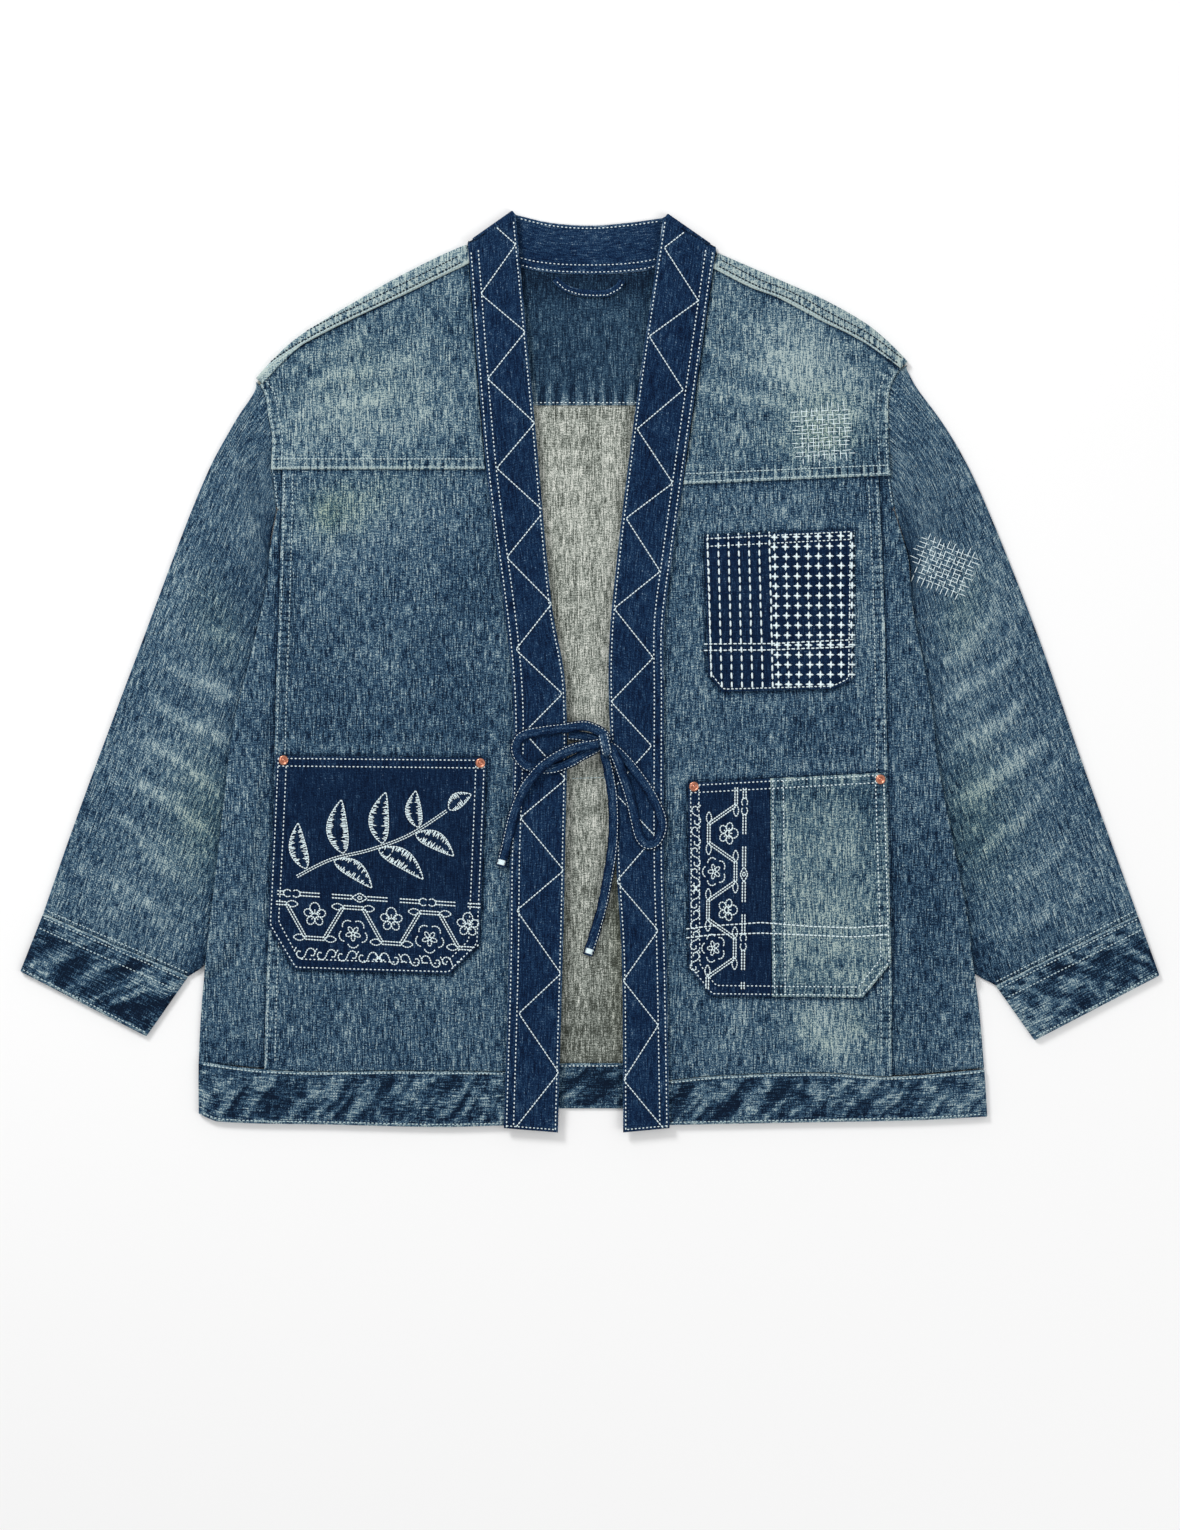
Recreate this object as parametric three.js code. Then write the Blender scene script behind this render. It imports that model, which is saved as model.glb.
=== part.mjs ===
// Patched boro work jacket, laid flat on its back with its sleeves out to the sides.
// Millimetres. +X runs to the wearer's left, +Y to the neck, +Z up from the surface it lies on,
// and the origin is the middle of the outline, on that surface.
import * as THREE from "three";

// Driving dimensions: the cloth and the heights of the layers ------------------------------------

const cloth = 1.2; // one layer of worn denim
const doubled = 2.1; // hem band and cuffs, folded double
const faced = 2.4; // collar band, folded double over its seam allowances
const gap = 0.3; // between pieces that meet
const slack = 1.2; // between the two layers of a piece where it is creased flat

const backTop = cloth;
const stripBase = backTop + slack; // upper layer of a tube creased flat, such as a side fold
const frontBase = stripBase + cloth + gap; // front panels and yokes
const lapBase = frontBase + cloth + gap; // whatever lies on a front panel
const bandTop = lapBase + faced;
const tuckHeight = 2 * cloth + slack + 2 * gap; // how far a sleeve lifts the body that lies on it
const sleeveLoft = 2.6; // extra height of a sleeve's upper layer in mid-sleeve

const lapWidth = 9; // one piece under another at a lapped seam
const tuckRun = 14; // width of the slope where the body comes down off a sleeve
const armpitY = 134;
const backSeamY = 229; // seam of the back yoke and the back panel
const bodyHeights = [178, 156, armpitY, 118, 100, 80, 50, 10, -40, -90, -140, -190, -215, -232, -246, -262,
  -285]; // rows of the body, which the back panel and the front panels share
const hemLevel = -324;
const shoulderFoldRadius = (frontBase + cloth) / 2;

const tieWidth = 8.5;
const tieThickness = 2.4;
const knotRadius = 10;
const knotHeight = 7;
const knotCentre = [14, -56];

// Lines of the pattern ----------------------------------------------------------------------------

// A smooth line through [place, value] pairs in rising order of place, straight past its ends.
function line(pairs) {
  const last = pairs.length - 1;
  const slope = (i) => {
    const [a, b] = [pairs[Math.max(i - 1, 0)], pairs[Math.min(i + 1, last)]];
    return (b[1] - a[1]) / (b[0] - a[0]);
  };
  return (place) => {
    if (place <= pairs[0][0]) return pairs[0][1] + slope(0) * (place - pairs[0][0]);
    if (place >= pairs[last][0]) return pairs[last][1] + slope(last) * (place - pairs[last][0]);
    const i = pairs.findIndex((pair) => pair[0] > place) - 1;
    const [[p0, v0], [p1, v1]] = [pairs[i], pairs[i + 1]];
    const run = p1 - p0;
    const t = (place - p0) / run;
    return THREE.MathUtils.lerp(v0, v1, t * t * (3 - 2 * t))
      + run * t * (1 - t) * (slope(i) * (1 - t) - slope(i + 1) * t);
  };
}

// Each side's lines: x for a height y, or y for a place x. `sign` is -1 on the wearer's right.
const right = {
  sign: -1,
  armhole: line([[130, -256.5], [167, -260.8], [192, -260], [212, -263.5], [231, -267], [241, -275]]),
  sideFold: line([[-362, -320.6], [-315, -320.6], [-268, -318], [-220, -313], [-168, -307], [-115, -301],
    [-44, -292], [24, -275.5], [73, -264.5], [96, -262.6], [113, -260.2], [134, -256.5]]),
  sideSeam: line([[-320, -266.5], [-242, -264.4], [-175, -260.8], [-38, -257.5], [54, -254.2],
    [163, -251.7]]),
  bandOuter: line([[-372, -70.5], [-234, -66.6], [-159, -65.8], [-13, -63.5], [172, -85.3], [352, -100]]),
  bandInner: line([[-374, -26.2], [-234, -22.3], [-159, -20.5], [-13, -19.7], [57, -31.2], [207, -45.1],
    [376, -60.9]]),
  yokeSeam: line([[-262, 167.3], [-85, 167.3]]),
  shoulderTip: 239,
  hemSeam: line([[-320, -317.3], [-277, -323.1], [-230, -325.5], [-158, -324.7], [-70, -325.5]]),
  hemEdge: line([[-320, -360.4], [-304, -366.5], [-212, -369], [-123, -371], [-70, -369.8]]),
  shoulderFold: line([[-275, 241], [-260, 257.5], [-242, 274], [-217, 290.5], [-190, 306.5],
    [-161.5, 323], [-122, 343], [-100, 352.5]]),
  shoulderSeam: line([[-273, 241], [-253.5, 257.6], [-216, 279.3], [-167, 302.7], [-101, 335.4]]),
  neckEnd: -101.5,
  overarm: [[-275.5, 240], [-284.5, 225], [-301.8, 192], [-329.6, 126], [-366.5, 28], [-403.4, -70.5],
    [-427.2, -136], [-448, -196]],
  underarm: [[-258.5, 134], [-262.3, 112], [-262, 96], [-257, 70], [-260, 20], [-275, -44], [-284, -115],
    [-291, -168], [-300, -214], [-313, -236], [-328.8, -247.6]],
  cuffEdge: [[-466.8, -243.5], [-363.3, -296.8]],
};
const left = {
  sign: 1,
  armhole: line([[130, 250.6], [167, 245.6], [209, 244.2], [232, 245.3], [248.6, 253.2], [254, 262]]),
  sideFold: line([[-362, 325.5], [-324, 323.1], [-268, 318.2], [-234.5, 313.2], [-200, 309.1], [-169, 303.4],
    [-70, 284.5], [-31, 280.4], [5.7, 273.9], [30, 268.6], [60, 263.4], [94, 260.6],
    [110, 256.4], [134, 249.4]]),
  sideSeam: line([[-326, 246.8], [-185, 246.8], [-79, 243.5], [44, 241.1], [110, 238.6], [161, 236.2]]),
  bandOuter: line([[-370.6, 65.1], [-234.5, 62.8], [-159, 60.6], [-13, 60.6], [40, 60.7], [100, 68.1],
    [160, 76.3], [347, 103]]),
  bandInner: line([[-376, 27.1], [-234.5, 26], [-159, 21.6], [-13, 15.2], [52, 17.6], [221, 37.7],
    [374, 59.9]]),
  yokeSeam: line([[76, 155], [246, 162.4]]),
  shoulderTip: 252,
  hemSeam: line([[64, -332.9], [106, -328.8], [188, -326.4], [249, -329.6], [322, -323.9]]),
  hemEdge: line([[65, -369.4], [167, -367.4], [269, -365.4], [325, -362.4]]),
  shoulderFold: line([[102.3, 346], [130, 334], [157.4, 322], [192.5, 306.3], [226.2, 287.1],
    [245.3, 271.4], [262.2, 254]]),
  shoulderSeam: line([[101, 332.2], [136, 314.2], [160, 305.1], [196, 285.4], [223.7, 270.8], [257, 246]]),
  neckEnd: 104.5,
  overarm: [[262.8, 253.5], [273.9, 241], [300, 192], [329.6, 126], [368.2, 28], [402.6, -70.5],
    [426.4, -136], [448.5, -196.8]],
  underarm: [[251.5, 134], [258.5, 108], [262.5, 88], [262, 70], [255.5, 34], [264, -31], [268, -70],
    [287, -169], [294, -205], [306, -238], [332.1, -255]],
  cuffEdge: [[466.6, -246.8], [364.1, -300.1]],
};
const sides = { right, left };
for (const side of [right, left]) {
  side.underarmAt = line([...side.underarm].reverse().map(([x, y]) => [y, x]));
}

// Where the neck seam crosses the back, and the top edge of the collar band behind the neck.
const neckSeam = line([[-95, 352.5], [-72, 339], [-45, 330], [0, 327], [45, 330], [72, 338], [97, 348.5]]);
const neckTop = line([[-61.5, 376.4], [-33, 369.8], [0, 367.4], [32, 369.8], [61.5, 373.9]]);

// Small arithmetic --------------------------------------------------------------------------------

const { lerp } = THREE.MathUtils;
const steps = (from, to, count) => Array.from({ length: count + 1 }, (_, k) => lerp(from, to, k / count));
const between = (a, b, t) => a.map((value, k) => lerp(value, b[k], t));

// 0 to 1 in a smooth slope as t goes from a to b.
function ramp(t, a, b) {
  const s = THREE.MathUtils.clamp((t - a) / (b - a), 0, 1);
  return s * s * (3 - 2 * s);
}

// The hem band's seam and edge across the back: as on the front at the sides, higher in the middle.
const acrossBack = (name, middle) => (x) => {
  const side = x < 0 ? right : left;
  return lerp(middle, side[name](x), ramp(Math.abs(x), 50, 230));
};
const backHemSeam = acrossBack("hemSeam", -319);
const backHemEdge = acrossBack("hemEdge", -356);

// The point where a line of x for y meets a line of y for x.
function meet(xOf, yOf) {
  let x = xOf(0);
  for (let k = 0; k < 60; k += 1) x = lerp(x, xOf(yOf(x)), 0.4);
  return [x, yOf(x)];
}

// A point of the four-sided piece between two lines across and two lines up, u across and v down.
function patch({ top, bottom, from, to }) {
  const corners = [meet(from, top), meet(to, top), meet(from, bottom), meet(to, bottom)];
  const [topFrom, topTo, bottomFrom, bottomTo] = corners;
  return (u, v) => {
    const topX = lerp(topFrom[0], topTo[0], u);
    const bottomX = lerp(bottomFrom[0], bottomTo[0], u);
    const fromY = lerp(topFrom[1], bottomFrom[1], v);
    const toY = lerp(topTo[1], bottomTo[1], v);
    const down = between([topX, top(topX)], [bottomX, bottom(bottomX)], v);
    const across = between([from(fromY), fromY], [to(toY), toY], u);
    const plain = between(between(topFrom, topTo, u), between(bottomFrom, bottomTo, u), v);
    return [down[0] + across[0] - plain[0], down[1] + across[1] - plain[1]];
  };
}

// How far the body is lifted at a place by the sleeve that is tucked under its side.
function lift(x, y) {
  const side = x < 0 ? right : left;
  const along = ramp(y, armpitY - 4, armpitY - 34) * ramp(y, -282, -246);
  return tuckHeight * along * (1 - ramp(side.sign * (side.underarmAt(y) - x), 6, 6 + tuckRun));
}

// Solids ------------------------------------------------------------------------------------------

// A closed wall of cloth on a net of nodes { at, out }: half its thickness goes to each side of the
// net along `out`. `ring` joins the last column to the first, and `has` says which cells hold cloth.
function wall(net, thickness, { ring = false, has = () => true } = {}) {
  const columns = net[0].length;
  const cellColumns = ring ? columns : columns - 1;
  const positions = [];
  for (const row of net) {
    for (const { at, out } of row) {
      const direction = new THREE.Vector3(...out).normalize().multiplyScalar(thickness / 2);
      const middle = new THREE.Vector3(...at);
      positions.push(middle.clone().add(direction), middle.clone().sub(direction));
    }
  }
  const outer = (i, j) => 2 * (i * columns + (j % columns));
  const triangles = [];
  const edges = new Map();
  for (let i = 0; i < net.length - 1; i += 1) {
    for (let j = 0; j < cellColumns; j += 1) {
      if (!has(i, j)) continue;
      const loop = [outer(i, j), outer(i, j + 1), outer(i + 1, j + 1), outer(i + 1, j)];
      const [a, b, c, d] = loop;
      triangles.push([a, b, c], [a, c, d], [a + 1, c + 1, b + 1], [a + 1, d + 1, c + 1]);
      loop.forEach((start, k) => edges.set(`${start} ${loop[(k + 1) % 4]}`, [start, loop[(k + 1) % 4]]));
    }
  }
  for (const [start, end] of edges.values()) {
    if (edges.has(`${end} ${start}`)) continue;
    triangles.push([end, start, start + 1], [end, start + 1, end + 1]);
  }
  return solid(positions, triangles);
}

// A geometry of these corners and triangles, with its faces turned out and spare corners left off.
function solid(positions, triangles) {
  const volume = triangles.reduce((sum, [a, b, c]) => (
    sum + positions[a].dot(positions[b].clone().cross(positions[c]))), 0);
  const facing = volume > 0 ? triangles : triangles.map(([a, b, c]) => [a, c, b]);
  const places = new Map([...new Set(facing.flat())].map((corner, k) => [corner, k]));
  const corners = [...places.keys()].flatMap((corner) => positions[corner].toArray());
  return new THREE.BufferGeometry()
    .setAttribute("position", new THREE.Float32BufferAttribute(corners, 3))
    .setIndex(facing.flat().map((corner) => places.get(corner)));
}

// A level net over a patch, with its lower face at the height `base`, a number or a function of place.
function level(surface, across, down, base, thickness = cloth) {
  const height = typeof base === "function" ? base : () => base;
  return down.map((v) => across.map((u) => {
    const [x, y] = surface(u, v);
    return { at: [x, y, height(x, y) + thickness / 2], out: [0, 0, 1] };
  }));
}

// The half turn of a fold from the lower layer to the upper one: `edge` is the fold's outermost line,
// `away` points out of the cloth, and the lower layer's face is at the height `base`.
function halfTurn(edge, away, base, outerRadius, thickness, parts) {
  const radius = outerRadius - thickness / 2;
  return steps(-90, 90, parts).map((degrees) => {
    const angle = THREE.MathUtils.degToRad(degrees);
    const [run, rise] = [Math.cos(angle), Math.sin(angle)];
    const reach = radius * run - outerRadius;
    return {
      at: [edge[0] + away[0] * reach, edge[1] + away[1] * reach, base + outerRadius + radius * rise],
      out: [away[0] * run, away[1] * run, rise],
    };
  });
}

const materials = {
  worn: new THREE.MeshStandardMaterial({ color: 0x4c6d86, roughness: 0.9 }),
  faded: new THREE.MeshStandardMaterial({ color: 0x7c98a3, roughness: 0.9 }),
  dark: new THREE.MeshStandardMaterial({ color: 0x24406b, roughness: 0.85 }),
  indigo: new THREE.MeshStandardMaterial({ color: 0x1b2f57, roughness: 0.85 }),
  crinkled: new THREE.MeshStandardMaterial({ color: 0x3d5a73, roughness: 0.9 }),
  copper: new THREE.MeshStandardMaterial({ color: 0xb56d4d, roughness: 0.4, metalness: 0.9 }),
};
const jacket = new THREE.Group();
function add(name, geometry, material) {
  const mesh = new THREE.Mesh(geometry, materials[material].clone());
  mesh.name = name;
  jacket.add(mesh);
}

// Back --------------------------------------------------------------------------------------------

// The columns of a front panel at a height: its side seam, the edge of the lap under it, and so on to
// its other edge, which goes in under the collar band.
function frontColumns(side, y) {
  const [seam, edge] = [side.sideSeam(y), side.bandOuter(y) - side.sign * lapWidth];
  const lap = seam - side.sign * lapWidth;
  return [seam, ...steps(lap, edge, 4)];
}

// The columns of the back at a height, from a place by the side towards the middle, with one at each
// end of the slope off the sleeve.
function backColumns(side, y, flat) {
  const slope = THREE.MathUtils.clamp(side.sign * (flat - side.underarmAt(y)) + 7, 7, 30);
  const offsets = [0, slope, slope + tuckRun / 2, slope + tuckRun, 110, 190];
  return offsets.map((offset) => flat - side.sign * offset);
}

// The back panel wraps round both sides of the body to the forward side seams.
function backPanel() {
  const parts = 3;
  const foldRadius = (stripBase + cloth) / 2;

  const half = (side, y, isHem) => {
    const isOpen = y > armpitY;
    const edge = isOpen ? side.armhole(y) - side.sign * gap : side.sideFold(y);
    const flat = edge - side.sign * (isOpen ? 0 : foldRadius);
    const node = (x, isBack) => {
      const depth = isHem ? (isBack ? backHemSeam(x) + gap : side.hemSeam(x) + 4 * gap) : y;
      const height = isBack ? 0 : stripBase;
      return { at: [x, depth, lift(x, depth) + height + cloth / 2], out: [0, 0, isBack ? -1 : 1] };
    };
    const back = backColumns(side, y, flat).map((x) => node(x, true));
    const [seam, lap] = frontColumns(side, y);
    const strip = [flat, seam, lap].map((x) => node(x, false));
    const turnY = isHem ? side.hemSeam(edge) + gap : y;
    const turn = halfTurn([edge, turnY], [side.sign, 0], lift(edge, y), foldRadius, cloth, parts);
    const middle = isOpen ? [back[0], ...turn.slice(1, -1), strip[0]] : turn;
    return [...back.slice(1).reverse(), ...middle, ...strip.slice(1)];
  };
  const heights = [backSeamY, 200, ...bodyHeights, hemLevel];
  const net = heights.map((y, row) => {
    const isHem = row === heights.length - 1;
    return [...half(right, y, isHem).reverse(), ...half(left, y, isHem)];
  });
  const columns = net[0].length;
  const [stripTop, armpit] = [heights.indexOf(bodyHeights[0]), heights.indexOf(armpitY)];
  const has = (i, j) => {
    const cell = Math.min(j, columns - 2 - j); // counted in from either front edge
    if (cell < 2) return i >= stripTop;
    return cell >= 2 + parts || i >= armpit;
  };
  return wall(net, cloth, { has });
}
add("back_panel", backPanel(), "worn");

// Shoulders: the back yoke folds forward there, and `width` is that of its strip on the front.
function shoulder(x) {
  const side = x < 0 ? right : left;
  const edge = [x, side.shoulderFold(x)];
  const slope = (side.shoulderFold(x + 1) - side.shoulderFold(x - 1)) / 2;
  const away = [-slope, 1].map((value) => value / Math.hypot(slope, 1));
  const width = Math.max((edge[1] - side.shoulderSeam(x)) * away[1], 3 * shoulderFoldRadius);
  return { edge, away, width };
}
const neckRibs = steps(-94.3, 96.8, 10).slice(1, -1); // places of the neck seam's corners
const inNeck = (x) => x > right.neckEnd + 0.1 && x < left.neckEnd - 0.1;
function yokePlaces(start, end) {
  const stops = (side, tip) => steps(0, 1, 6).map((t) => lerp(tip, side.neckEnd, t ** 0.8));
  return [...stops(right, start), ...neckRibs, ...stops(left, end).reverse()];
}

// The back yoke comes forward over both shoulders, as far as the front shoulder seams.
function backYoke() {
  const surface = patch({
    top: (x) => (inNeck(x) ? neckSeam(x) - gap : shoulder(x).edge[1] - shoulderFoldRadius),
    bottom: () => backSeamY + gap,
    from: (y) => right.armhole(y) + gap,
    to: (y) => left.armhole(y) - gap,
  });
  const [start, end] = [surface(0, 0)[0], surface(1, 0)[0]];
  const places = yokePlaces(start, end);
  const parts = 4;
  const net = places.map((x) => {
    const { edge, away, width } = shoulder(x);
    const flat = (v) => ({ at: [...surface((x - start) / (end - start), v), cloth / 2], out: [0, 0, -1] });
    const turn = halfTurn(edge, away, 0, shoulderFoldRadius, cloth, parts);
    const strip = [0.5, 1].map((t) => ({
      at: [...edge.map((value, k) => value - away[k] * width * t), lapBase + cloth / 2],
      out: [0, 0, 1],
    }));
    return [flat(1), flat(0.5), ...(inNeck(x) ? [flat(0), ...turn.slice(1)] : turn), ...strip];
  });
  const has = (j, row) => row < 2 || (inNeck(places[j]) === inNeck(places[j + 1])
    && !inNeck(places[j]) && places[j] * places[j + 1] > 0);
  return wall(net, cloth, { has });
}
add("back_yoke", backYoke(), "faded");

// The back yoke's inner layer, which shows through the open front.
function backYokeFacing() {
  const clear = 9; // off the shoulder folds and the armhole seams
  const surface = patch({
    top: (x) => (inNeck(x) ? neckSeam(x) - gap : shoulder(x).edge[1] - clear),
    bottom: () => backSeamY - lapWidth,
    from: (y) => right.armhole(y) + clear,
    to: (y) => left.armhole(y) - clear,
  });
  const [start, end] = [surface(0, 0)[0], surface(1, 0)[0]];
  const across = yokePlaces(start, end).map((x) => (x - start) / (end - start));
  return wall(level(surface, across, [0, 0.5, 1], backTop + gap), cloth);
}
add("back_yoke_facing", backYokeFacing(), "indigo");

// Fronts ------------------------------------------------------------------------------------------

for (const [name, side] of Object.entries(sides)) {
  const rows = [null, ...bodyHeights.slice(1), null];
  const panel = rows.map((height, row) => (
    frontColumns(side, height ?? (row ? hemLevel : 170)).sort((a, b) => b - a).map((x) => {
      const y = height ?? (row ? side.hemSeam(x) + gap : side.yokeSeam(x) + lapWidth);
      return { at: [x, y, frontBase + lift(x, y) + cloth / 2], out: [0, 0, 1] };
    })));
  add(`front_panel_${name}`, wall(panel, cloth), "worn");

  // The front yoke laps down over the panel and goes up under the back yoke's forward strip.
  const yoke = patch({
    top: (x) => shoulder(x).edge[1] - (0.87 * shoulder(x).width) / shoulder(x).away[1],
    bottom: side.yokeSeam,
    from: side.armhole,
    to: (y) => side.bandOuter(y) + side.sign * 2 * gap,
  });
  const lapRows = [[0, lapBase], [lapWidth + 3, lapBase], [lapWidth + 18, frontBase]];
  const net = steps(0, 1, 7).map((u) => {
    const height = yoke(u, 0)[1] - yoke(u, 1)[1];
    const rise = [...lapRows, ...[0.6, 0.8, 1].map((t) => [height * t, frontBase])];
    return rise.map(([up, base]) => (
      { at: [...yoke(u, 1 - up / height), base + cloth / 2], out: [0, 0, 1] }));
  });
  add(`front_yoke_${name}`, wall(net, cloth), "faded");
}

// Sleeves and cuffs -------------------------------------------------------------------------------

// A flat tube: rungs run from its outer edge to its inner one, and each is a flattened ring.
function flatTube(rungs, { thickness, room, across, loft = () => 0, capLap = () => 0 }) {
  const height = 2 * thickness + room;
  const radius = height / 2;
  return rungs.map(([outer, inner], row) => {
    const width = Math.hypot(inner[0] - outer[0], inner[1] - outer[1]);
    const along = [(inner[0] - outer[0]) / width, (inner[1] - outer[1]) / width];
    const inwards = [-along[1], along[0]].map((value) => value * Math.sign(along[0] || 1));
    const node = (t, mid, out, shift = 0) => ({
      at: [...between(outer, inner, t).map((value, k) => value + inwards[k] * shift), mid],
      out: [0, 0, out],
    });
    const v = row / (rungs.length - 1);
    return [
      ...halfTurn(outer, along.map((value) => -value), 0, radius, thickness, 3),
      ...[0.06, ...across, 0.93].map((t) => node(t, height - thickness / 2 + loft(t, v), 1, capLap(t, v))),
      ...halfTurn(inner, along, 0, radius, thickness, 3).reverse(),
      ...[...across].reverse().map((t) => node(t, thickness / 2, -1)),
    ];
  });
}

// Soft diagonal folds across a sleeve, none at its seams and where the body lies on it.
function sleeveFolds(t, v) {
  const clearOfEdges = ramp(t, 0, 0.3) * (1 - ramp(t, 0.5, 0.78));
  const clearOfEnds = ramp(v, 0.02, 0.2) * (1 - ramp(v, 0.9, 1));
  return sleeveLoft * clearOfEdges * clearOfEnds * (0.8 + 0.2 * Math.sin(18 * v + 4 * t));
}

for (const [name, side] of Object.entries(sides)) {
  const [overarm, underarm] = [side.overarm, side.underarm].map((points) => (
    new THREE.SplineCurve(points.map((point) => new THREE.Vector2(...point)))));
  const rungCount = 15;
  const rungs = steps(0, 1, rungCount).map((v) => (
    [overarm, underarm].map((edge) => edge.getPointAt(v).toArray())));

  // The cap end follows the armhole, corner for corner, and its upper layer goes in under the front yoke.
  const [[shoulderX, shoulderY], [armpitX]] = [side.overarm[0], side.underarm[0]];
  const capHeights = [lerp(side.shoulderTip, backSeamY, 0.5), backSeamY, 200, 178, 156];
  const across = capHeights.map((y) => (shoulderY - y) / (shoulderY - armpitY));
  const bow = (t) => side.armhole(lerp(shoulderY, armpitY, t)) - lerp(shoulderX, armpitX, t);
  const capLap = (t, v) => (v === 0 ? 6 * ramp(t, 0.1, 0.2) * (1 - ramp(t, 0.4, 0.5)) : 0);
  const net = flatTube(rungs, { thickness: cloth, room: slack, across, loft: sleeveFolds, capLap });
  const bowedRows = 4;
  net.slice(0, bowedRows).forEach((row, i) => row.forEach((node) => {
    const t = THREE.MathUtils.clamp((shoulderY - node.at[1]) / (shoulderY - armpitY), 0, 1);
    node.at[0] += (1 - i / bowedRows) ** 2 * bow(t);
  }));
  add(`sleeve_${name}`, wall(net, cloth, { ring: true }), "worn");

  const seamEnds = rungs[rungCount];
  const cuffRungs = [0.02, 0.35, 0.68, 1].map((v) => (
    seamEnds.map((end, k) => between(end, side.cuffEdge[k], v))));
  const cuff = flatTube(cuffRungs, { thickness: doubled, room: gap, across: [0.25, 0.5, 0.75] });
  add(`cuff_${name}`, wall(cuff, doubled, { ring: true }), "crinkled");
}

// Hem band: one doubled strip round the body, from one end of the collar band to the other ---------

function hemBand() {
  const base = frontBase + cloth - doubled; // its front layer is level with the panels' upper faces
  const outerRadius = (frontBase + cloth) / 2;
  const underBand = 5;
  const half = (side, v) => {
    const foldY = lerp(side.hemSeam(side.sign * 320), side.hemEdge(side.sign * 320), v);
    const fold = side.sideFold(foldY);
    const flat = fold - side.sign * outerRadius;
    const inner = side.bandOuter(foldY) - side.sign * underBand;
    const front = [flat, ...frontColumns(side, hemLevel).slice(0, -1), inner].map((x) => ({
      at: [x, lerp(side.hemSeam(x), side.hemEdge(x), v), base + doubled / 2], out: [0, 0, 1] }));
    const foldRadius = (stripBase + cloth) / 2;
    const columns = backColumns(side, hemLevel, side.sideFold(hemLevel) - side.sign * foldRadius);
    const back = [flat, ...columns.slice(1)].map((x) => ({
      at: [x, lerp(backHemSeam(x), backHemEdge(x), v), doubled / 2], out: [0, 0, -1] }));
    const turn = halfTurn([fold, foldY], [side.sign, 0], 0, outerRadius, doubled, 4);
    return [...back.slice(1).reverse(), ...turn, ...front.slice(1)];
  };
  return steps(0, 1, 2).map((v) => [...half(right, v).reverse(), ...half(left, v)]);
}
add("hem_band", wall(hemBand(), doubled), "crinkled");

// Collar band: one ribbon up the right front, folded back behind the neck and down the left front ---

function collarBand() {
  const radius = bandTop / 2 - faced / 2;
  const rib = (outer, inner, mid, out) => [0, 0.5, 1].map((t) => (
    { at: [...between(outer, inner, t), mid], out: [0, 0, out] }));
  const frontRibs = (side, top) => {
    const bottom = [side.bandOuter(-372), side.bandInner(-372)].map((x, k) => [x, k ? -375.2 : -371.6]);
    const [outerTop, innerTop] = top;
    return [0, 0.06, 0.14, 0.24, 0.34, 0.44, 0.5, 0.56, 0.62, 0.7, 0.78, 0.86, 0.94].map((v) => {
      const [outerY, innerY] = [lerp(bottom[0][1], outerTop[1], v), lerp(bottom[1][1], innerTop[1], v)];
      return rib([side.bandOuter(outerY), outerY], [side.bandInner(innerY), innerY], lapBase + faced / 2, 1);
    });
  };
  const fold = (top) => {
    const [outer, inner] = top;
    const length = Math.hypot(inner[0] - outer[0], inner[1] - outer[1]);
    const away = [-(inner[1] - outer[1]) / length, (inner[0] - outer[0]) / length];
    const upwards = away[1] > 0 ? away : away.map((value) => -value);
    return steps(90, -90, 6).map((degrees) => {
      const angle = THREE.MathUtils.degToRad(degrees);
      const shift = upwards.map((value) => value * radius * Math.cos(angle));
      const out = [upwards[0] * Math.cos(angle), upwards[1] * Math.cos(angle), Math.sin(angle)];
      return [0, 0.5, 1].map((t) => {
        const [x, y] = between(outer, inner, t);
        return { at: [x + shift[0], y + shift[1], bandTop / 2 + radius * Math.sin(angle)], out };
      });
    });
  };
  const rightFold = [[-94.3, 353.4], [-61.5, 376.4]];
  const leftFold = [[96.8, 349.3], [61.5, 373.9]];
  const behindNeck = neckRibs.map((lowX, k) => {
    const highX = lerp(rightFold[1][0], leftFold[1][0], (k + 1) / (neckRibs.length + 1));
    return rib([lowX, neckSeam(lowX)], [highX, neckTop(highX)], faced / 2, -1);
  });
  return [
    ...frontRibs(right, rightFold), ...fold(rightFold), ...behindNeck,
    ...fold(leftFold).reverse(), ...frontRibs(left, leftFold).reverse(),
  ];
}
add("collar_band", wall(collarBand(), faced), "dark");

// Pockets: each is rows of its two edges, so its cut corners are the last two rows --------------------

function pocket(rows) {
  return wall(rows.map(([a, b]) => steps(0, 1, 4).map((t) => {
    const [x, y] = between(a, b, t);
    return { at: [x, y, lapBase + lift(x, y) + cloth / 2], out: [0, 0, 1] };
  })), cloth);
}
add("pocket_lower_right", pocket([
  [[-256.7, -67.2], [-84.5, -68.9]], [[-259.8, -136], [-87.2, -140]],
  [[-263.2, -205.8], [-90.6, -221.4]], [[-241.5, -241.9], [-114.8, -245.6]],
]), "indigo");
add("pocket_lower_left_dark", pocket([
  [[80.4, -89.4], [147, -85.6]], [[80.8, -165], [147.8, -165]],
  [[81.2, -241.1], [148.4, -243]], [[99.2, -263.5], [148.6, -264]],
]), "indigo");
add("pocket_lower_left_pale", pocket([
  [[147.4, -85.6], [241.9, -80.8]], [[148.2, -165], [244.2, -158]],
  [[148.8, -240], [246.5, -236.2]], [[149, -264], [223, -264.9]],
]), "faded");
add("pocket_chest", pocket([
  [[93.5, 112.3], [215.3, 118.1]], [[95.1, 58], [214.5, 57]],
  [[96.8, -0.8], [213.6, -4.9]], [[108.2, -14.8], [199.3, -12.3]],
]), "indigo");

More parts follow.
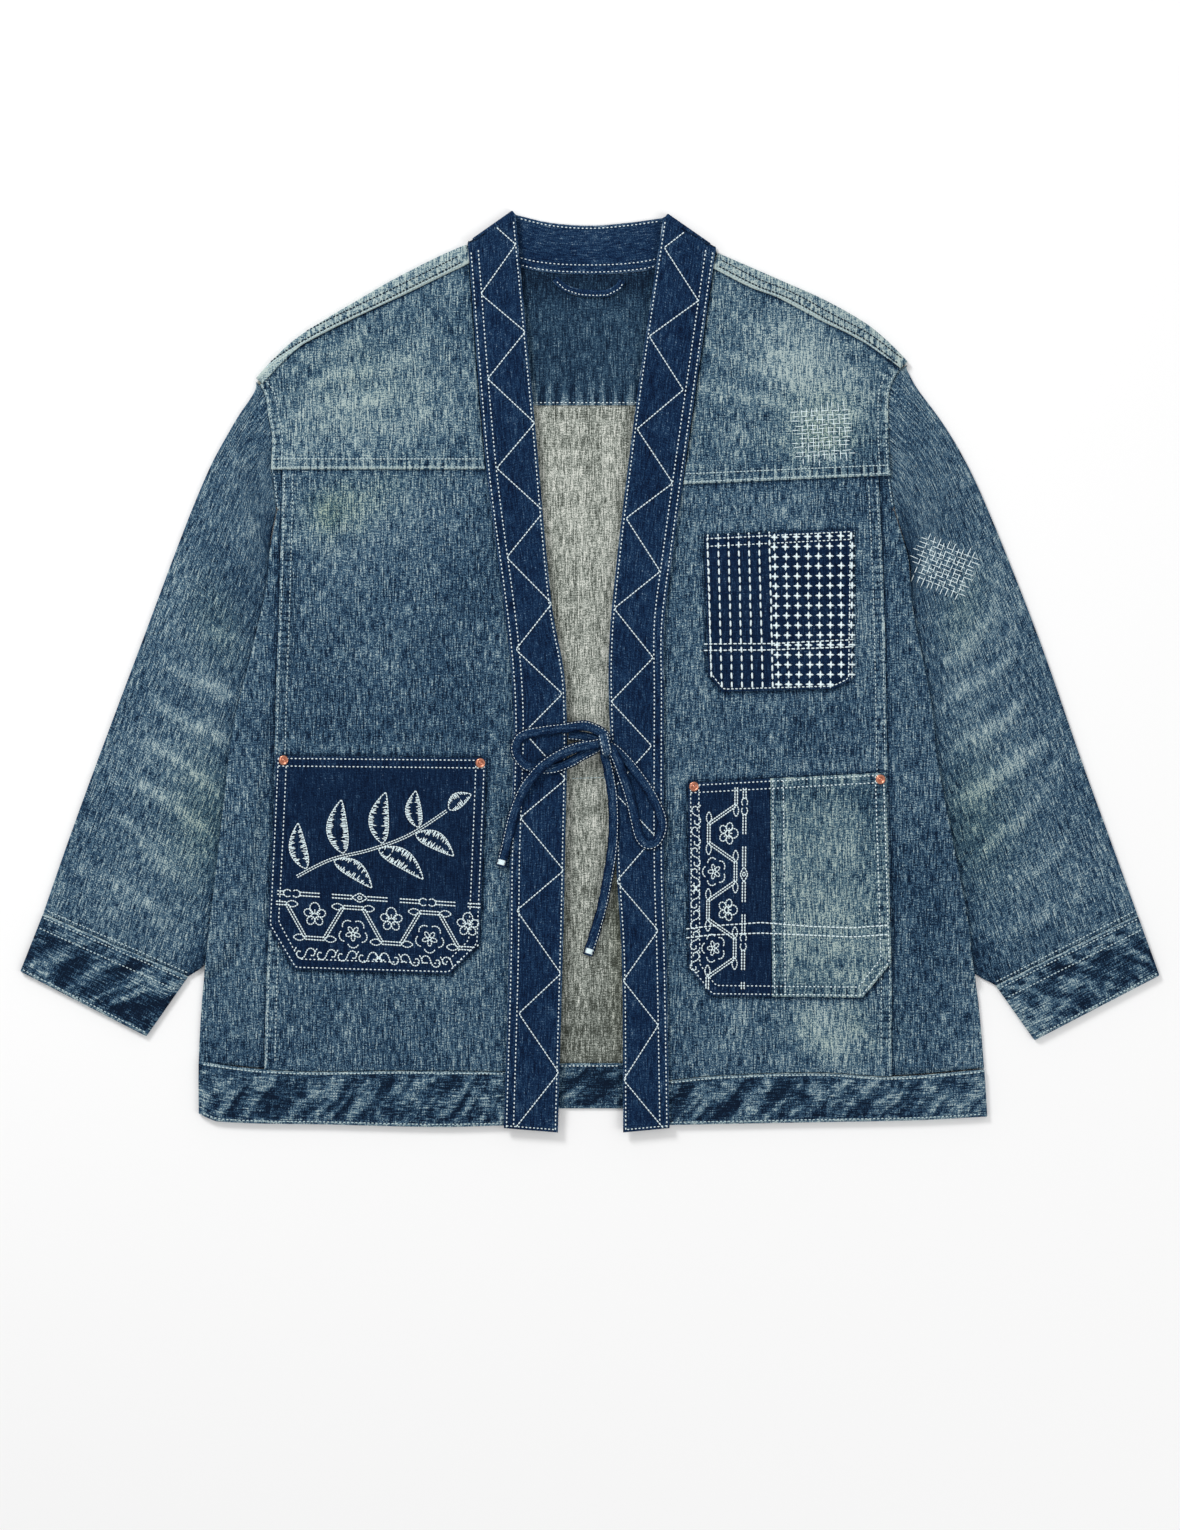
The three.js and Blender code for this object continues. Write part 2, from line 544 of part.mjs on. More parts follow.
// Rivets at the upper corners of the two lower pockets.
const rivetRadius = 3.9;
const rivetProfile = [[0, 0], [rivetRadius, 0], [rivetRadius, 0.5], [2.6, 1.3], [0, 1.5]];
const rivetPlaces = { right_side: [-250.6, -70.7], right_front: [-89.6, -73], left_front: [85, -92.2],
  left_side: [237.6, -86.3] };
for (const [name, [x, y]] of Object.entries(rivetPlaces)) {
  const geometry = new THREE.LatheGeometry(rivetProfile.map((point) => new THREE.Vector2(...point)), 12);
  geometry.rotateX(Math.PI / 2).translate(x, y, lapBase + cloth + gap);
  add(`rivet_${name}`, geometry, "copper");
}

// Hanger loop under the neck seam, on the yoke facing.
function hangerLoop() {
  const route = [[-28.7, 323.5], [-21.3, 316.5], [-9, 312.4], [2.5, 311.5], [13.9, 311.8], [23, 316.5],
    [26.2, 322.5]];
  const curve = new THREE.SplineCurve(route.map((point) => new THREE.Vector2(...point)));
  const halfWidth = 3;
  const middle = backTop + cloth + 2 * gap + cloth / 2;
  return steps(0, 1, 10).map((t) => {
    const centre = curve.getPointAt(t);
    const tangent = curve.getTangentAt(t);
    return [-halfWidth, halfWidth].map((offset) => ({
      at: [centre.x - tangent.y * offset, centre.y + tangent.x * offset, middle],
      out: [0, 0, 1],
    }));
  });
}
add("hanger_loop", wall(hangerLoop(), cloth), "dark");

// Ties: flat straps from the collar band's inner edges, tied in a bow ---------------------------------

// A strap along a route of [x, y, height of its lower face], level across its width all the way.
function strap(route, count) {
  const curve = new THREE.CatmullRomCurve3(route.map(([x, y, base]) => (
    new THREE.Vector3(x, y, base + tieThickness / 2))), false, "centripetal");
  curve.computeFrenetFrames = (segments) => {
    const tangents = steps(0, 1, segments).map((t) => curve.getTangentAt(t));
    const normals = tangents.map((tangent) => new THREE.Vector3(-tangent.y, tangent.x, 0).normalize());
    const binormals = tangents.map((tangent, k) => tangent.clone().cross(normals[k]));
    return { tangents, normals, binormals };
  };
  const [w, h, bevel] = [tieWidth / 2, tieThickness / 2, 0.6];
  const outline = [[-w, -h + bevel], [-w + bevel, -h], [w - bevel, -h], [w, -h + bevel], [w, h - bevel],
    [w - bevel, h], [-w + bevel, h], [-w, h - bevel]];
  const section = new THREE.Shape(outline.map((point) => new THREE.Vector2(...point)));
  return new THREE.ExtrudeGeometry(section, { steps: count, extrudePath: curve, bevelEnabled: false });
}
const onBand = bandTop + gap;
const overStrap = onBand + tieThickness + 2 * gap;
const onBack = backTop + gap;
const onFront = frontBase + cloth + gap;

add("tie_right_base", strap([[-17.6, -50, 4.6], [-11, -50.6, 4.9], [-4, -51.8, 5.6], [3, -53.5, 6.4]], 3), "dark");
add("tie_loop_right", strap([[4.2, -49.6, onBand + 1.4], [-4, -45.2, onBand + 1], [-22.1, -45.6, onBand],
  [-41.8, -47.1, onBand], [-56, -51, onBand], [-61, -61, onBand], [-56, -72.2, onBand], [-45.7, -77.4, onBand],
  [-30, -77.6, onBand], [-16, -72.5, onBand], [-4, -65.5, onBand], [3.2, -62, onBand]], 22), "dark");
add("tie_tail_right", strap([[3.4, -58.2, overStrap], [-12.3, -60.7, overStrap], [-25.4, -66.4, overStrap],
  [-38, -74.6, overStrap], [-47.5, -84.6, overStrap], [-54.4, -94.3, onBand + 1.2], [-60, -107, onBand],
  [-64, -120, onBand], [-69.2, -142.7, onBand], [-73.2, -157.4, onFront + 1.4]], 16), "dark");
add("tie_loop_left", strap([[21.9, -62.7, onBand], [33.4, -74.6, onBand], [47.6, -94.3, onBand],
  [57.4, -113.6, onBand], [59, -126.3, onBand], [54.5, -137, onBand], [47.2, -140, onBand], [40.6, -134, onBand],
  [36.4, -118.5, onBand], [32.6, -102, onBand + 0.4], [27, -84.6, overStrap - 0.4],
  [19.7, -65.2, overStrap + 0.6]], 22), "dark");
add("tie_tail_left", strap([[13.1, -66.6, onBand], [15.6, -81.2, onBand], [18.6, -100.9, onBand],
  [19.4, -126.3, onBand], [17.6, -148, onBand], [14.4, -168, onBand - 1.6], [10.6, -188, onBack + 2],
  [5.4, -207.5, onBack + 0.2], [-1.9, -230.4, onBack]], 16), "dark");

const knotProfile = [[0, 0], [knotRadius - 2, 0], [knotRadius, 2], [knotRadius, knotHeight - 2.5],
  [knotRadius - 3, knotHeight], [0, knotHeight]];
const knot = new THREE.LatheGeometry(knotProfile.map((point) => new THREE.Vector2(...point)), 14);
knot.rotateX(Math.PI / 2).translate(knotCentre[0], knotCentre[1], onBand);
add("tie_knot", knot, "dark");

export default jacket;
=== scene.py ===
# Patched boro work jacket, laid flat on its back with its sleeves out. The pattern is in millimetres:
# +X runs to the wearer's left, +Y to the neck, +Z up; it becomes metres when a mesh is made.
import math

import bpy
import numpy as np
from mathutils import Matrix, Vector
from mathutils.bvhtree import BVHTree


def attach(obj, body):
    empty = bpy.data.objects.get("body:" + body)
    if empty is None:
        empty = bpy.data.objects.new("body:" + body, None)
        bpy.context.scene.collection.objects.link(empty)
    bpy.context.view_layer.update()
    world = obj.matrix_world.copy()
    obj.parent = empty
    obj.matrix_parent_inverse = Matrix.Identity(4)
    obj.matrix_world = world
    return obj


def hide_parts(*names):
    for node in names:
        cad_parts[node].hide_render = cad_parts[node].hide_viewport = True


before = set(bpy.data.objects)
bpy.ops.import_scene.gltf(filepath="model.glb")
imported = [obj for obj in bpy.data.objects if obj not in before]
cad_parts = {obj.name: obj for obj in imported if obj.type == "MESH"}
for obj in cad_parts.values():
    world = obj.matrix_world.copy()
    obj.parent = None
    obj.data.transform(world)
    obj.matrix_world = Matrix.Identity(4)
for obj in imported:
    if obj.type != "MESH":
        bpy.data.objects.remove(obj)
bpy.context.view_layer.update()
MM = 0.001

# Camera -----------------------------------------------------------------------------------------------

VIEW_HEIGHT = 1.2546
LENS, SENSOR = 85.0, 36.0


def placed(name, data):
    """A new object in the scene for a mesh, a light or a camera."""
    thing = bpy.data.objects.new(name, data)
    bpy.context.collection.objects.link(thing)
    return thing


camera = placed("camera", bpy.data.cameras.new("camera"))
camera.data.lens = LENS
camera.data.sensor_width = SENSOR
camera.location = (0.0, -0.0746, VIEW_HEIGHT * LENS / SENSOR)
bpy.context.scene.camera = camera

# Layers, in mm ----------------------------------------------------------------------------------

CLOTH, DOUBLED, FACED, GAP, SLACK = 1.2, 2.1, 2.4, 0.3, 1.2
BACK_TOP = CLOTH
STRIP_BASE = BACK_TOP + SLACK
FRONT_BASE = STRIP_BASE + CLOTH + GAP
LAP_BASE = FRONT_BASE + CLOTH + GAP
BAND_TOP = LAP_BASE + FACED
TUCK_HEIGHT = 2 * CLOTH + SLACK + 2 * GAP
SLEEVE_LOFT = 2.6
LAP_WIDTH = 9
TUCK_RUN = 14
ARMPIT_Y = 134
BACK_SEAM_Y = 229
HEM_LEVEL = -324
SHOULDER_FOLD_RADIUS = (FRONT_BASE + CLOTH) / 2
TIE_WIDTH, TIE_THICKNESS = 8.5, 2.4
KNOT_CENTRE = (14, -56)
NECK_RIGHT_X, NECK_LEFT_X = -94.3, 96.8

# Small arithmetic -------------------------------------------------------------------------------


def line(pairs):
    """A smooth line through (place, value) pairs in rising order of place, straight past its ends."""
    p, v = np.array(pairs, float).T
    last = len(p) - 1
    low, high = np.maximum(np.arange(last + 1) - 1, 0), np.minimum(np.arange(last + 1) + 1, last)
    slope = (v[high] - v[low]) / (p[high] - p[low])

    def at(place):
        place = np.asarray(place, float)
        i = np.clip(np.searchsorted(p, place, side="right") - 1, 0, last - 1)
        run = p[i + 1] - p[i]
        t = np.clip((place - p[i]) / run, 0, 1)
        inside = v[i] + (v[i + 1] - v[i]) * t * t * (3 - 2 * t)
        inside = inside + run * t * (1 - t) * (slope[i] * (1 - t) - slope[i + 1] * t)
        return inside + slope[0] * np.minimum(place - p[0], 0) + slope[-1] * np.maximum(place - p[-1], 0)

    return at


def lerp(a, b, t):
    return a + (b - a) * t


def bell(distance, width):
    return np.exp(-((distance / width) ** 2))


def joined(*parts):
    """Arrays as the parts of points along a new last axis."""
    return np.stack(parts, -1)


def ramp(t, a, b):
    s = np.clip((np.asarray(t, float) - a) / (b - a), 0, 1)
    return s * s * (3 - 2 * s)


def spaced(length, cell, rim=0.7):
    """Places from 0 to 1 along a length, about a cell apart, with one more close to each end."""
    count = max(2, round(length / cell))
    inner = np.linspace(0, 1, count + 1)[1:-1]
    return np.concatenate([[0, rim / length], inner, [1 - rim / length, 1]])


def noise(x, y, size, seed):
    """Smooth noise from -1 to 1 with features about `size` mm across; size may be (across, along)."""
    size = np.broadcast_to(np.asarray(size, float), (2,))
    u, v = np.asarray(x, float) / size[0] + 4096.3, np.asarray(y, float) / size[1] + 4096.7
    i, j = np.floor(u).astype(np.int64), np.floor(v).astype(np.int64)
    fu, fv = u - i, v - j
    su, sv = fu * fu * (3 - 2 * fu), fv * fv * (3 - 2 * fv)

    def corner(a, b):
        h = (a * 374761393 + b * 668265263 + seed * 974634777) & 0xFFFFFFFF
        h = ((h ^ (h >> 13)) * 1274126177) & 0xFFFFFFFF
        return ((h ^ (h >> 16)) & 0xFFFF) / 32767.5 - 1

    near, far = (lerp(corner(i, j + k), corner(i + 1, j + k), su) for k in (0, 1))
    return lerp(near, far, sv)


class Side:
    """Each side's lines: x for a height y, or y for a place x. `sign` is -1 on the wearer's right."""

    def __init__(self, sign, **lines):
        self.sign = sign
        for name, value in lines.items():
            setattr(self, name, line(value) if isinstance(value, list) and name not in SPLINES else value)
        self.underarm_at = line([(y, x) for x, y in reversed(self.underarm)])


SPLINES = ("overarm", "underarm", "cuff_edge")
right = Side(
    -1,
    armhole=[(130, -256.5), (167, -260.8), (192, -260), (212, -263.5), (231, -267), (241, -275)],
    side_fold=[(-362, -320.6), (-315, -320.6), (-268, -318), (-220, -313), (-168, -307), (-115, -301),
               (-44, -292), (24, -275.5), (73, -264.5), (96, -262.6), (113, -260.2), (134, -256.5)],
    side_seam=[(-320, -266.5), (-242, -264.4), (-175, -260.8), (-38, -257.5), (54, -254.2), (163, -251.7)],
    band_outer=[(-372, -70.5), (-234, -66.6), (-159, -65.8), (-13, -63.5), (172, -85.3), (352, -100)],
    band_inner=[(-374, -26.2), (-234, -22.3), (-159, -20.5), (-13, -19.7), (57, -31.2), (207, -45.1),
                (376, -60.9)],
    yoke_seam=[(-262, 167.3), (-85, 167.3)],
    shoulder_tip=239,
    hem_seam=[(-320, -317.3), (-277, -323.1), (-230, -325.5), (-158, -324.7), (-70, -325.5)],
    hem_edge=[(-320, -360.4), (-304, -366.5), (-212, -369), (-123, -371), (-70, -369.8)],
    shoulder_fold=[(-275, 241), (-260, 257.5), (-242, 274), (-217, 290.5), (-190, 306.5),
                   (-161.5, 323), (-122, 343), (-100, 352.5)],
    shoulder_seam=[(-273, 241), (-253.5, 257.6), (-216, 279.3), (-167, 302.7), (-101, 335.4)],
    neck_end=-101.5,
    overarm=[(-275.5, 240), (-284.5, 225), (-301.8, 192), (-329.6, 126), (-366.5, 28), (-403.4, -70.5),
             (-427.2, -136), (-448, -196)],
    underarm=[(-258.5, 134), (-262.3, 112), (-262, 96), (-257, 70), (-260, 20), (-275, -44), (-284, -115),
              (-291, -168), (-300, -214), (-313, -236), (-328.8, -247.6)],
    cuff_edge=[(-466.8, -243.5), (-363.3, -296.8)],
)
left = Side(
    1,
    armhole=[(130, 250.6), (167, 245.6), (209, 244.2), (232, 245.3), (248.6, 253.2), (254, 262)],
    side_fold=[(-362, 325.5), (-324, 323.1), (-268, 318.2), (-234.5, 313.2), (-200, 309.1), (-169, 303.4),
               (-70, 284.5), (-31, 280.4), (5.7, 273.9), (30, 268.6), (60, 263.4), (94, 260.6),
               (110, 256.4), (134, 249.4)],
    side_seam=[(-326, 246.8), (-185, 246.8), (-79, 243.5), (44, 241.1), (110, 238.6), (161, 236.2)],
    band_outer=[(-370.6, 65.1), (-234.5, 62.8), (-159, 60.6), (-13, 60.6), (40, 60.7), (100, 68.1),
                (160, 76.3), (347, 103)],
    band_inner=[(-376, 27.1), (-234.5, 26), (-159, 21.6), (-13, 15.2), (52, 17.6), (221, 37.7),
                (374, 59.9)],
    yoke_seam=[(76, 155), (246, 162.4)],
    shoulder_tip=252,
    hem_seam=[(64, -332.9), (106, -328.8), (188, -326.4), (249, -329.6), (322, -323.9)],
    hem_edge=[(65, -369.4), (167, -367.4), (269, -365.4), (325, -362.4)],
    shoulder_fold=[(102.3, 346), (130, 334), (157.4, 322), (192.5, 306.3), (226.2, 287.1),
                   (245.3, 271.4), (262.2, 254)],
    shoulder_seam=[(101, 332.2), (136, 314.2), (160, 305.1), (196, 285.4), (223.7, 270.8), (257, 246)],
    neck_end=104.5,
    overarm=[(262.8, 253.5), (273.9, 241), (300, 192), (329.6, 126), (368.2, 28), (402.6, -70.5),
             (426.4, -136), (448.5, -196.8)],
    underarm=[(251.5, 134), (258.5, 108), (262.5, 88), (262, 70), (255.5, 34), (264, -31), (268, -70),
              (287, -169), (294, -205), (306, -238), (332.1, -255)],
    cuff_edge=[(466.6, -246.8), (364.1, -300.1)],
)
SIDES = {"right": right, "left": left}
neck_seam = line([(-95, 352.5), (-72, 339), (-45, 330), (0, 327), (45, 330), (72, 338), (97, 348.5)])
neck_top = line([(-61.5, 376.4), (-33, 369.8), (0, 367.4), (32, 369.8), (61.5, 373.9)])


def by_side(x, of):
    """of(side) at each x, for the side that x is on."""
    return np.where(np.asarray(x) < 0, of(right), of(left))


def across_back(name, middle):
    return lambda x: lerp(middle, by_side(x, lambda s: getattr(s, name)(x)), ramp(np.abs(x), 50, 230))


back_hem_seam = across_back("hem_seam", -319)
back_hem_edge = across_back("hem_edge", -356)


def meet(x_of, y_of):
    x = float(x_of(0))
    for _ in range(60):
        x = lerp(x, float(x_of(y_of(x))), 0.4)
    return np.array([x, float(y_of(x))])


def patch(top, bottom, start, end):
    """A point of the four-sided piece between two lines across and two up, u across and v down."""
    tf, tt, bf, bt = meet(start, top), meet(end, top), meet(start, bottom), meet(end, bottom)

    def at(u, v):
        top_x, bottom_x = lerp(tf[0], tt[0], u), lerp(bf[0], bt[0], u)
        from_y, to_y = lerp(tf[1], bf[1], v), lerp(tt[1], bt[1], v)
        x = lerp(top_x, bottom_x, v) + lerp(start(from_y), end(to_y), u)
        y = lerp(top(top_x), bottom(bottom_x), v) + lerp(from_y, to_y, u)
        plain = [lerp(lerp(tf[k], tt[k], u), lerp(bf[k], bt[k], u), v) for k in (0, 1)]
        return x - plain[0], y - plain[1]

    return at


# Height and wear over the body ------------------------------------------------------------------


def lift(x, y):
    """How far the body is lifted by the sleeve that is tucked under its side."""
    along = ramp(y, ARMPIT_Y - 4, ARMPIT_Y - 34) * ramp(y, -282, -246)
    inside = by_side(x, lambda s: s.sign * (s.underarm_at(y) - x))
    return TUCK_HEIGHT * along * (1 - ramp(inside, 6, 6 + TUCK_RUN))


def ridges(x, y, folds):
    """Height and fade of soft folds (x0, y0, x1, y1, width, height, fade), tapered to their ends."""
    height, fade = np.zeros(np.shape(x)), np.zeros(np.shape(x))
    for x0, y0, x1, y1, width, rise, pale in folds:
        dx, dy = x1 - x0, y1 - y0
        length = math.hypot(dx, dy)
        s = ((x - x0) * dx + (y - y0) * dy) / length**2
        wander = 0.35 * width * np.sin(7 * s + x0)
        d = ((x - x0) * dy - (y - y0) * dx) / length + wander
        shape = bell(d, width) * ramp(s, -0.12, 0.25) * (1 - ramp(s, 0.72, 1.12))
        height += rise * shape
        fade += pale * shape
    return height, fade


def blobs(x, y, spots):
    """Soft spots (x, y, half width, half height, turn in degrees, amount), summed."""
    total = np.zeros(np.shape(x))
    for cx, cy, rx, ry, turn, amount in spots:
        c, s = math.cos(math.radians(turn)), math.sin(math.radians(turn))
        u, v = ((x - cx) * c + (y - cy) * s) / rx, (-(x - cx) * s + (y - cy) * c) / ry
        total += amount * np.exp(-(u * u + v * v))
    return total


BODY_FOLDS = [
    # right yoke and armhole
    (-258, 188, -190, 214, 5, 0.5, 0.10), (-252, 205, -150, 236, 6, 0.5, 0.10),
    (-246, 232, -130, 262, 6, 0.4, 0.10), (-255, 172, -215, 192, 4, 0.4, 0.08),
    (-245, 246, -180, 282, 7, 0.4, 0.08),
    # left yoke and armhole
    (92, 268, 190, 232, 7, 0.5, 0.10), (86, 236, 180, 212, 7, 0.5, 0.10),
    (84, 206, 170, 186, 6, 0.4, 0.08), (238, 226, 205, 236, 4, 0.4, 0.08),
    (240, 206, 205, 214, 4, 0.4, 0.07), (120, 290, 175, 252, 6, 0.4, 0.08),
    # below the armpits
    (-246, 120, -175, 70, 9, 0.9, 0.05), (-243, 90, -200, 20, 8, 0.8, 0.04),
    (232, 118, 170, 118, 7, 0.0, 0.02), (228, 60, 180, 20, 9, 0.7, 0.04),
    # long soft drapes down the fronts
    (-150, 60, -165, -50, 14, 0.7, 0.03), (-110, 100, -120, -40, 12, 0.6, 0.03),
    (150, -20, 160, -75, 10, 0.5, 0.04), (90, 60, 84, -60, 9, 0.6, 0.03),
    (-180, -250, -205, -315, 10, 0.8, 0.05), (-120, -250, -110, -315, 9, 0.6, 0.04),
    (120, -270, 110, -322, 9, 0.7, 0.05), (190, -272, 205, -322, 10, 0.8, 0.08),
]
BODY_SPOTS = [
    (191, 197, 24, 22, 0, 0.16),
    # faded yokes
    (-175, 240, 62, 46, 20, 0.15), (-215, 205, 40, 30, 30, 0.10), (-150, 205, 44, 26, 0, 0.10),
    (-105, 270, 22, 60, -8, 0.04), (-120, 186, 40, 12, 0, -0.10), (-235, 250, 25, 15, 35, -0.10),
    (178, 262, 46, 34, -35, 0.30), (205, 218, 36, 34, 0, 0.20), (120, 225, 36, 40, 0, 0.06),
    (235, 180, 14, 20, 0, -0.14), (100, 300, 22, 20, 0, 0.06),
    # right front
    (-205, 135, 52, 26, 12, 0.20), (-170, 110, 60, 40, 20, 0.08), (-215, 40, 30, 90, 0, -0.05),
    (-130, 20, 40, 60, 0, -0.02), (-185, -45, 70, 20, 0, -0.05), (-250, 60, 14, 80, 0, -0.06),
    (-170, -275, 90, 26, 0, -0.04), (-265, -200, 22, 90, 0, 0.02), (-85, 60, 10, 120, -4, -0.05),
    # left front
    (205, -292, 40, 34, 0, 0.33), (120, -290, 40, 30, 0, 0.05), (150, -40, 70, 26, 0, -0.05),
    (150, 138, 60, 16, 0, 0.10),
    (90, -40, 20, 50, 0, 0.06), (175, -50, 60, 18, 0, -0.04), (275, -200, 25, 90, 0, -0.06),
    (255, 30, 20, 60, 0, -0.03), (205, 135, 30, 12, 0, -0.05),
]
DARNED = (191, 197, 24, 22, 0)
STAINS = [(*DARNED, 0.5), (-208, 130, 26, 18, 25, 0.8), (-185, 148, 50, 20, 10, 0.35),
          (205, -290, 45, 30, 0, 0.35), (190, 205, 40, 30, 0, 0.25), (-190, 240, 60, 40, 0, 0.15)]


def side_edge(s, y):
    return np.where(y < ARMPIT_Y, s.side_fold(y), s.armhole(y))


def drape(x, y):
    """The slow waves and folds that all the body's upper layers share."""
    inside = by_side(x, lambda s: s.sign * (side_edge(s, y) - x))
    top = by_side(x, lambda s: s.shoulder_fold(np.where(np.abs(x) < 98, s.sign * 98, x)))
    mask = ramp(inside, 2, 26) * ramp(y, -368, -340) * (1 - ramp(y, top - 30, top - 4))
    waves = 0.9 + 0.55 * noise(x, y, (70, 120), 3) + 0.3 * noise(x, y, (28, 46), 4)
    return mask * (np.maximum(waves, 0) + np.minimum(ridges(x, y, BODY_FOLDS)[0], 1.6))


def body_fade(x, y):
    broad = 0.05 * noise(x, y, (90, 130), 11) + 0.05 * noise(x, y, (26, 60), 12)
    fine = 0.03 * noise(x, y, (9, 30), 13)
    return blobs(x, y, BODY_SPOTS) + 1.5 * ridges(x, y, BODY_FOLDS)[1] + broad + fine - 0.12


def body_stain(x, y):
    return np.clip(blobs(x, y, STAINS) * (1 + 0.5 * noise(x, y, 14, 21)), 0, 1)


class Seam:
    """A seam's edge as a polyline with the piece on its left. Puckers and wear follow it."""

    def __init__(self, points):
        self.points = np.array(points, float)
        runs = np.diff(self.points, axis=0)
        self.lengths = np.hypot(*runs.T)
        self.units = runs / self.lengths[:, None]
        self.starts = np.concatenate([[0], np.cumsum(self.lengths)])

    def near(self, x, y, reach):
        """Which of the points are within reach, their distance in from the edge and place along it."""
        x, y = np.asarray(x, float), np.asarray(y, float)
        (x0, y0), (x1, y1) = self.points.min(0) - reach, self.points.max(0) + reach
        hit = (x > x0) & (x < x1) & (y > y0) & (y < y1)
        px, py = x[hit], y[hit]
        best, depth, place = np.full(px.shape, 1e9), np.zeros(px.shape), np.zeros(px.shape)
        for (ax, ay), (ux, uy), length, start in zip(self.points, self.units, self.lengths, self.starts):
            s = (px - ax) * ux + (py - ay) * uy
            d = -(px - ax) * uy + (py - ay) * ux
            over = np.maximum(np.maximum(-s, s - length), 0)
            far = np.hypot(d, over)
            closer = far < best
            best = np.where(closer, far, best)
            depth = np.where(closer, d, depth)
            place = np.where(closer, start + np.clip(s, 0, length), place)
        return hit, depth, place, best


def puckers(x, y, seams):
    """Height and fade from seams: (seam, options) with `at` mm in from the edge, `wide` half width,
    `rise`, `pitch`, `pale` for the ladder's contrast, `rope` for the worn edge (a negative rope paints a
    shadow line along the edge), `dim` beyond it."""
    height, fade = np.zeros(np.shape(x)), np.zeros(np.shape(x))
    for number, (seam, o) in enumerate(seams):
        at, wide, pitch = o.get("at", 5), o.get("wide", 4.5), o.get("pitch", 6.6)
        reach = o.get("reach", 22)
        hit, d, s, far = seam.near(x, y, reach)
        beat = 2 * math.pi * s / pitch + 2.6 * noise(s, 0 * s, 2.7 * pitch, 31 + number)
        beat = beat + o.get("lean", 0.0) * d
        power = 0.75 + 0.45 * noise(s, 0 * s + 9, 3.3 * pitch, 61 + number)
        wave = ramp(0.5 + 0.5 * np.cos(beat), 0.15, 0.8)
        core = np.exp(-(((d - at) / wide) ** 4))
        tail = 0.45 * bell(np.maximum(np.abs(d - at) - wide, 0), o.get("run", 7)) * (1 - core)
        keep = (far < reach) & (d > -0.5 if o.get("one_side", True) else d > -1e9)
        height[hit] += np.where(keep, power * o.get("rise", 0.5) * wave * (core + tail), 0)
        ladder = power * o.get("pale", 0.25) * (wave - 0.55) * (core + tail)
        rope = o.get("rope", 0.2) * bell(d - 0.9, 1.1) * (0.8 + 0.4 * wave)
        fade[hit] += np.where(keep, ladder + rope - o.get("dim", 0) * core, 0)
    return height, fade


# Materials --------------------------------------------------------------------------------------


def fresh(name):
    """A new material with its nodes, links and shader."""
    material = bpy.data.materials.new(name)
    material.use_nodes = True
    tree = material.node_tree
    return material, tree.nodes, tree.links, tree.nodes["Principled BSDF"]


def bumped(nodes, links, shader, height, strength, distance):
    bump = nodes.new("ShaderNodeBump")
    bump.inputs["Strength"].default_value = strength
    bump.inputs["Distance"].default_value = distance
    links.new(height, bump.inputs["Height"])
    links.new(bump.outputs["Normal"], shader.inputs["Normal"])


